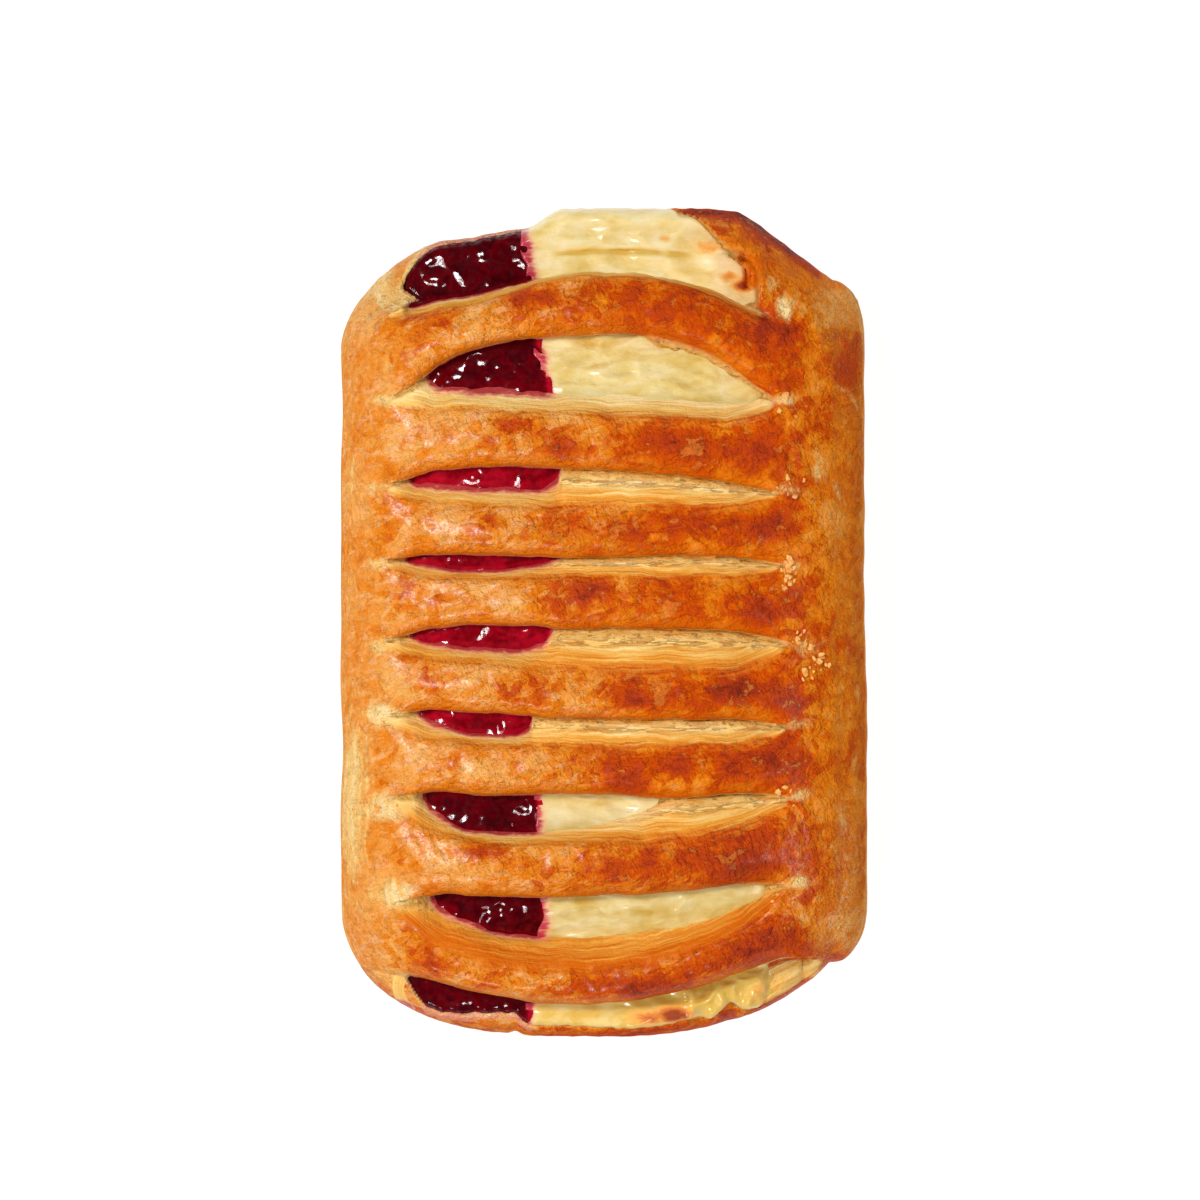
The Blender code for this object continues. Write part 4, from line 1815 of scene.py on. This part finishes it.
    def _browning(self, x: Array, y: Array, s: float) -> Array:
        """How dark the oven made a top, from 0 to about 1. The right half browned more.

        Args:
            x, y: the points' places.
            s: how far from the crest to the near edge they lie.

        Returns:
            One value for each point.
        """
        right = smooth((x + 24) / 34)
        borders = smooth((np.abs(x + 1) - 30.0) / 5.0)
        crown = mix(1 - abs(s - 0.4) * 0.6, 0.85, borders)
        brown = mix(0.22 + 0.32 * right, 0.22 + 0.18 * right, borders) * crown
        patches = 0.22 * grain(x, y, 0.0, 8.0, 61.0) + 0.14 * grain(x, y, 0.0, 3.4, 71.0)
        return brown + patches * mix(0.7 + 0.3 * right, 0.5, borders) + strongest(x, y, self.browned)

    def _stain(self, strip: StripLines, part: Part, made: dict[str, Array]) -> Array:
        """Where cherry juice soaked in: low on the cut faces and floors on the left.

        Args:
            strip: the lines of the row's strip.
            part: which part of the strip the row is on.
            made: the row's places and masks so far.

        Returns:
            The stain of each point, from 0 to 1.
        """
        form, x, y = self.form, strip.x, made["y"]
        above = made["z"] - form.filling_height(x, y)
        slit = strip.above if part in (Part.FAR, Part.CUT) else strip.below
        end = np.minimum(form.border(y), slit.open_right)
        along = band(x, slit.open_left - 2.0, 3.0, end + 3.0, 4.0)
        bare = np.maximum(made.get("cut", 0.0), made.get("crumb", 0.0))
        if part is Part.SIDE:
            bare = 1.0
        elif part in (Part.FAR, Part.NEAR):
            inner = form.end_distance(x, y) - form.end_lip(x, y)
            bare = np.maximum(bare, 0.6 * smooth((inner + 1.5) / 0.9))
        return smooth((1.9 - above) / 1.5) * along * bare

    def _add_relief(self, surface: dict[str, Array]) -> None:
        """Raises waves, blisters and layer ridges, and makes the sides ragged.

        Args:
            surface: the grid's places and masks by name, which are changed.
        """
        x, y, z = surface["x"], surface["y"], surface["z"]
        bare = np.maximum(surface["cut"], surface["crumb"])
        edge = 1 - np.abs(x / self.form.half_width) ** 10
        waves = 0.36 * grain(x, y, 0.0, 8.0, 3.0)
        puffs = 0.22 * (0.4 - 1.3 * np.abs(grain(x, y * 1.3, 0.0, 4.0, 23.0)))
        slant, along = (x + 0.7 * y) / 1.22, (y - 0.7 * x) / 1.22
        folded = smooth(0.5 + 1.6 * grain(x, y, 0.0, 8.0, 53.0))
        folds = 0.36 * folded * (0.35 - np.abs(grain(slant, along * 0.4, 0.0, 2.1, 13.0, 2)))
        crumbs = 0.30 * grain(x, y, 0.0, 1.4, 33.0, 3)
        lift = (1 - bare) * (waves + puffs + folds + 0.4 * self._seam(x, y)) + surface["crumb"] * crumbs
        surface["z"] = z + edge * np.minimum(lift, self.most_lift)
        ridges = 0.14 * grain(x * 0.12, surface["layer"] * 1.1, 0.0, 1.0, 43.0)
        ridges = ridges + 0.34 * grain(x * 0.07, surface["layer"] * 0.45, 0.0, 1.0, 46.0)
        surface["z"] = surface["z"] + surface["cut"] * (1 - surface["crumb"]) * ridges
        surface["x"] = x * self.form.side_share(x, y)
        surface["wall"] = smooth((14.0 - z) / 5.0) * smooth((np.abs(x) - 37.0) / 3.0)
        level = surface["z"] * self.wall_layer_scale
        surface["layer"] = np.where(surface["cut"] > 0.02, surface["layer"], level)

    def _carry_down(self, at: dict[str, Array], ring: Array) -> None:
        """Places the rings of the side wall: a ledge, the base sheet's bulge and the foot.

        Args:
            at: each point's place and masks by name, which are changed.
            ring: each point's ring.
        """
        down = ring / self.rings
        below = ring > 0
        across, along = at["x"] / self.form.half_width, at["y"] / self.form.half_length
        out = np.stack([np.sign(across) * np.abs(across) ** 5, np.sign(along) * np.abs(along) ** 7])
        out = out / np.maximum(np.hypot(*out), 1e-6)
        height = at["z"] * (1 - down)
        ledge = self.ledge * hill(down, 0.16, 0.07)
        foot = self.foot_inset * np.maximum((down - 0.62) / 0.38, 0.0) ** 2
        layers = 0.16 * grain(at["x"], at["y"], height * 9, 5.0, 81.0)
        inset = np.where(below, ledge + foot + 0.25 * smooth(down * 5) + layers * (down < 1), 0.0)
        inset = np.maximum(inset, 0.0)
        at["x"] = at["x"] - out[0] * inset
        at["y"] = at["y"] - out[1] * inset
        at["z"] = np.where(below, height, at["z"])
        at["wall"] = np.where(below, 1.0, at["wall"])
        at["layer"] = np.where(below, height * self.wall_layer_scale, at["layer"])
        for name in ("cut", "edge", "stain", "crumb"):
            at[name] = np.where(below, 0.0, at[name])


@dataclass
class Filling(Piece):
    """A filling that runs through the danish and rises where it shows."""

    end_room: float = 0.15
    end_slope: float = 1.5
    probes: int = 300

    def block(self, name: str, columns: int, rows: int, left: Array, right: Array) -> tuple:
        """A closed block between two sides, whose ends follow the danish's outline.

        Args:
            name: the piece's name.
            columns: how many faces it has across.
            rows: how many faces it has along.
            left, right: the sides' places at each row.

        Returns:
            The object, and the x, y and ring of each of its points.
        """
        piece = self.flat_grid(name, columns, rows, 1)
        column, row, ring = self.read_grid(piece, columns, rows)
        x = mix(left[row], right[row], column / columns)
        along = np.linspace(1, -1, rows + 1)[row]
        far = self.form.far_end(x) - self.form.far_lip(x) - self.end_room
        near = self.form.near_end(x) - self.form.near_lip(x) - self.end_room
        y = along * (np.where(along > 0, far, near) - self.end_slope * ring)
        return piece, x, y, ring

    def lay(
        self, piece: bpy.types.Object, x: Array, y: Array, z: Array, ring: Array, masks: dict[str, Array]
    ) -> None:
        """Sets the points of a block, whose underside is level.

        Args:
            piece: the block.
            x, y: its points' places.
            z: the height of its top at each.
            ring: the points' rings, 0 on top and 1 below.
            masks: one value a point for each mask's name.
        """
        base = self.form.filling_base
        z = np.where(ring == 0, np.maximum(z, base), base)
        self.write(piece, np.stack([x * self.form.side_share(x, y), y, z], axis=1), masks)

    def row_places(self, rows: int) -> Array:
        """The rows' places along the length, roughly."""
        return np.linspace(1, -1, rows + 1) * (self.form.half_length - 2 * self.end_room)

    def depth_inside(self, x: Array, y: Array) -> Array:
        """How far a point lies inside the nearest opening's edges, in millimetres.

        Args:
            x, y: the points' places.

        Returns:
            One distance for each point.
        """
        columns = np.linspace(-self.form.half_width, self.form.half_width, self.probes)
        lines = self.form.lines(columns)
        inside = np.zeros_like(x)
        for above, below in zip(lines, lines[1:]):
            top = np.interp(x, columns, above[2]) - y
            foot = y - np.interp(x, columns, below[0])
            inside = np.maximum(inside, np.minimum(top, foot))
        far = y - np.interp(x, columns, lines[0][0])
        near = np.interp(x, columns, lines[-1][2]) - y
        ends = np.where(y > 0, far, near)
        distance = self.form.end_distance(x, y)
        return np.maximum(inside, np.minimum(ends, distance - self.form.end_lip(x, y)))


@dataclass
class Cherry(Filling):
    """The cherry filling, on the left."""

    columns: int = 104
    rows: int = 470
    finish: CherryFinish = field(default_factory=CherryFinish)

    def build(self) -> bpy.types.Object:
        """Makes the cherry filling.

        Returns:
            Its object.
        """
        along = self.row_places(self.rows)
        right = self.form.border(along) + 0.8
        left = np.full_like(along, -self.form.filling_left)
        piece, x, y, ring = self.block("danish_cherry", self.columns, self.rows, left, right)
        z = self.form.filling_height(x, y)
        lumps = 0.42 * grain(x, y, 0.0, 4.2, 11.0) + 0.2 * grain(x, y, 0.0, 1.7, 17.0)
        edge = smooth((self.form.border(y) + 0.3 - x) / 1.0)
        held = mix(0.3, 1.0, edge) * mix(0.2, 1.0, smooth((x + 35.0) / 3.0))
        z = z + (lumps + 0.2) * held
        thin = 0.5 * (1 - edge) + 0.12 * smooth((0.5 - self.depth_inside(x, y)) / 0.5)
        thin = thin + 0.32 * smooth((28 - np.abs(y)) / 4)
        self.lay(piece, x, y, z, ring, {"thin": thin})
        piece.data.materials.append(self.finish.build())
        self.hand_over(piece, "cherry", "cherry_filling")
        return piece


@dataclass
class Cheese(Filling):
    """The sweet cheese filling, on the right."""

    columns: int = 126
    rows: int = 430
    mound: Spot = Spot(9.5, -61.0, 3.6, 1.5, 0.7)
    toasted: tuple[Spot, ...] = (
        Spot(9.6, 59.8, 1.4, 0.9, 0.6),
        Spot(16.6, 58.4, 2.6, 1.3, 0.65),
        Spot(19.8, 53.8, 1.8, 1.1, 0.7),
        Spot(21.8, 52.3, 1.5, 1.0, 1.5),
        Spot(11.0, -61.0, 3.0, 1.5, 1.5),
        Spot(7.0, -61.4, 3.2, 1.3, 1.1),
        Spot(24.5, -57.5, 2.4, 2.4, 0.5),
    )
    finish: CheeseFinish = field(default_factory=CheeseFinish)

    def build(self) -> bpy.types.Object:
        """Makes the cheese filling.

        Returns:
            Its object.
        """
        along = self.row_places(self.rows)
        left = self.form.border(along) - 0.4
        right = np.full_like(along, self.form.filling_right)
        piece, x, y, ring = self.block("danish_cheese", self.columns, self.rows, left, right)
        z = self.form.filling_height(x, y)
        waves = 0.30 * grain(x * 0.6, y, 0.0, 5.0, 29.0) + 0.10 * grain(x * 0.5, y, 0.0, 2.0, 37.0)
        waves = waves + 0.8 * (0.22 - np.abs(grain(x * 0.45, y, 0.0, 2.6, 61.0)))
        waves = waves + self.mound.at(x, y)
        torn = band(x, 12.0, 2.0, 26.0, 2.0) * smooth((-54.0 - y) / 2.0)
        waves = waves + torn * (0.7 - 2.6 * np.abs(grain(x, y, 0.0, 3.4, 47.0)))
        crease = hill(y + 0.006 * (x - 2) ** 2, 57.7, 0.38) * band(x, -9.0, 3.0, 16.0, 5.0)
        z = z + waves + 0.15 - 0.7 * crease - 2.2 * self.form.gap(x, y)
        stain = smooth((self.form.border(y) + 2.4 - x) / 2.6)
        toast = strongest(x, y, self.toasted)
        # Painted shade: darker in the slits than at the open ends, a little less in the far half.
        slit_shade = band(y, -52.0, 4.0, 52.0, 4.0)
        slit_shade = slit_shade * mix(0.75, 1.0, smooth((20.0 - y) / 20.0))
        # Darker, yellower cheese towards the near end and in the first slit, carried on the crease mask.
        yellowed = mix(0.15, 0.6, smooth((x - 1.0) / 4.0)) * smooth((-52.0 - y) / 3.0)
        yellowed = yellowed + 0.22 * smooth((-36.0 - y) / 4.0)
        yellowed = np.maximum(yellowed, 0.18 * band(y, 30.0, 3.0, 48.0, 3.0))
        masks = {"stain": stain, "toast": toast, "crease": crease + yellowed, "slit_shade": slit_shade}
        self.lay(piece, x, y, z, ring, masks)
        piece.data.materials.append(self.finish.build())
        self.hand_over(piece, "cheese", "cheese_filling")
        return piece


@dataclass(frozen=True)
class Cluster:
    """A cluster of loose flakes: its middle, how far it spreads and how many it has."""

    x: float
    y: float
    spread: float
    count: int


@dataclass
class Flakes(Piece):
    """Loose flakes and crumbs of pastry, lying on the crust."""

    clusters: tuple[Cluster, ...] = (
        Cluster(28.2, 8.4, 1.8, 16),
        Cluster(28.4, 6.2, 1.3, 12),
        Cluster(30.6, -2.6, 2.0, 9),
        Cluster(33.0, -6.0, 1.8, 9),
        Cluster(31.8, -7.6, 1.4, 6),
        Cluster(28.6, 33.8, 2.4, 5),
        Cluster(28.0, 20.8, 2.4, 7),
        Cluster(-34.5, -28.0, 2.2, 4),
        Cluster(28.6, -27.0, 2.4, 5),
        Cluster(26.4, -41.2, 2.6, 4),
    )
    seed: int = 12
    sizes: tuple[float, float] = (0.5, 1.5)
    thinness: tuple[float, float] = (0.15, 0.4)
    narrowness: tuple[float, float] = (0.4, 0.9)
    unevenness: float = 0.22
    most_tilt: float = 0.4
    finish: FlakeFinish = field(default_factory=FlakeFinish)

    def build(self, crust: bpy.types.Object) -> bpy.types.Object:
        """Makes the flakes.

        Args:
            crust: what they lie on.

        Returns:
            The flakes' object.
        """
        draw = np.random.default_rng(self.seed)
        made = []
        for cluster in self.clusters:
            for _ in range(cluster.count):
                x = draw.normal(cluster.x, cluster.spread * 0.5)
                y = draw.normal(cluster.y, cluster.spread * 0.4)
                made.append(self._flake(crust, draw, x, y))
        bpy.ops.object.select_all(action="DESELECT")
        for flake in made:
            flake.select_set(True)
        bpy.context.view_layer.objects.active = made[0]
        bpy.ops.object.join()
        piece = bpy.context.object
        piece.name = piece.data.name = "danish_flakes"
        piece.data.materials.append(self.finish.build())
        self.hand_over(piece, "crust", None)
        return piece

    def _flake(
        self, crust: bpy.types.Object, draw: np.random.Generator, x: float, y: float
    ) -> bpy.types.Object:
        """One crumb with an uneven surface, laid on the crust.

        Args:
            crust: what it lies on.
            draw: the random draws that shape it.
            x, y: its place.

        Returns:
            The crumb's object.
        """
        size = draw.uniform(*self.sizes) * draw.uniform(0.6, 1.0)
        bpy.ops.mesh.primitive_ico_sphere_add(subdivisions=2, radius=0.5)
        flake = bpy.context.object
        flat, narrow = draw.uniform(*self.thinness), draw.uniform(*self.narrowness)
        for vert in flake.data.vertices:
            vert.co *= 1 + draw.normal(0, self.unevenness)
        found, place, _, _ = crust.ray_cast(Vector((x, y, 60.0)) * MM, Vector((0, 0, -1)))
        flake.scale = Vector((1.0, narrow, flat)) * size * MM
        tilt = [draw.uniform(-self.most_tilt, self.most_tilt) for _ in range(2)]
        flake.rotation_euler = Euler((*tilt, draw.uniform(0, 6.28)))
        flake.location = place + Vector((0, 0, 0.3 * flat * size * MM)) if found else (0, 0, 0.02)
        bpy.ops.object.transform_apply(location=True, rotation=True, scale=True)
        return flake


@dataclass(frozen=True)
class Lamp:
    """A soft square light: where it hangs and its side, in metres, and its power in watts."""

    name: str
    place: tuple[float, float, float]
    size: float
    power: float


@dataclass
class Studio:
    """The floor, the lights and the camera."""

    camera_height: float = 0.9
    frame_width: float = 0.1882
    frame_centre: tuple[float, float] = (-0.0006, 0.0035)
    outline_height: float = 0.009
    sensor: float = 36.0
    world: float = 0.16
    floor_size: float = 3.0
    lamps: tuple[Lamp, ...] = (
        Lamp("key", (-0.5, 0.32, 1.0), 0.22, 10.8),
        Lamp("right", (0.75, -0.2, 0.75), 0.30, 2.6),
        Lamp("near", (-0.3, -0.8, 0.7), 0.16, 4.8),
    )

    def build(self) -> None:
        """Makes the whole studio."""
        self._floor()
        for lamp in self.lamps:
            self._light(lamp)
        self._world()
        self._camera()

    def _floor(self) -> None:
        """A plain white floor under the pastry."""
        bpy.ops.object.select_all(action="DESELECT")
        bpy.ops.mesh.primitive_plane_add(size=self.floor_size, location=(0, 0, 0))
        floor = bpy.context.object
        floor.name = "floor"
        floor.data.materials.append(FloorFinish().build())

    def _light(self, lamp: Lamp) -> None:
        """Hangs a lamp and points it at the pastry.

        Args:
            lamp: its place, size and power.
        """
        bpy.ops.object.light_add(type="AREA", location=lamp.place)
        light = bpy.context.object
        light.name = lamp.name
        light.data.shape = "SQUARE"
        light.data.size = lamp.size
        light.data.energy = lamp.power
        light.rotation_euler = (-Vector(lamp.place)).to_track_quat("-Z", "Y").to_euler()

    def _world(self) -> None:
        """An even white surround."""
        world = bpy.data.worlds.new("surround")
        world.use_nodes = True
        back = world.node_tree.nodes["Background"]
        back.inputs["Color"].default_value = (1.0, 1.0, 1.0, 1.0)
        back.inputs["Strength"].default_value = self.world
        bpy.context.scene.world = world

    def _camera(self) -> None:
        """The camera, straight above the pastry."""
        place = (*self.frame_centre, self.camera_height)
        bpy.ops.object.camera_add(location=place, rotation=(0, 0, 0))
        camera = bpy.context.object
        distance = self.camera_height - self.outline_height
        camera.data.sensor_width = self.sensor
        camera.data.lens = self.sensor * distance / self.frame_width
        bpy.context.scene.camera = camera
        bpy.context.scene.view_settings.view_transform = "Standard"


def main() -> None:
    """Builds the danish and its studio around the frame."""
    logging.basicConfig(level=logging.INFO)
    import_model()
    low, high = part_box("crust")
    form = Form(
        half_width=(high[0] - low[0]) / 2 / MM,
        half_length=(high[1] - low[1]) / 2 / MM,
        height=high[2] / MM - RELIEF_ROOM,
    )
    crust = Crust(form).build()
    Cherry(form).build()
    Cheese(form).build()
    Flakes(form).build(crust)
    Studio().build()


if __name__ == "__main__":
    main()
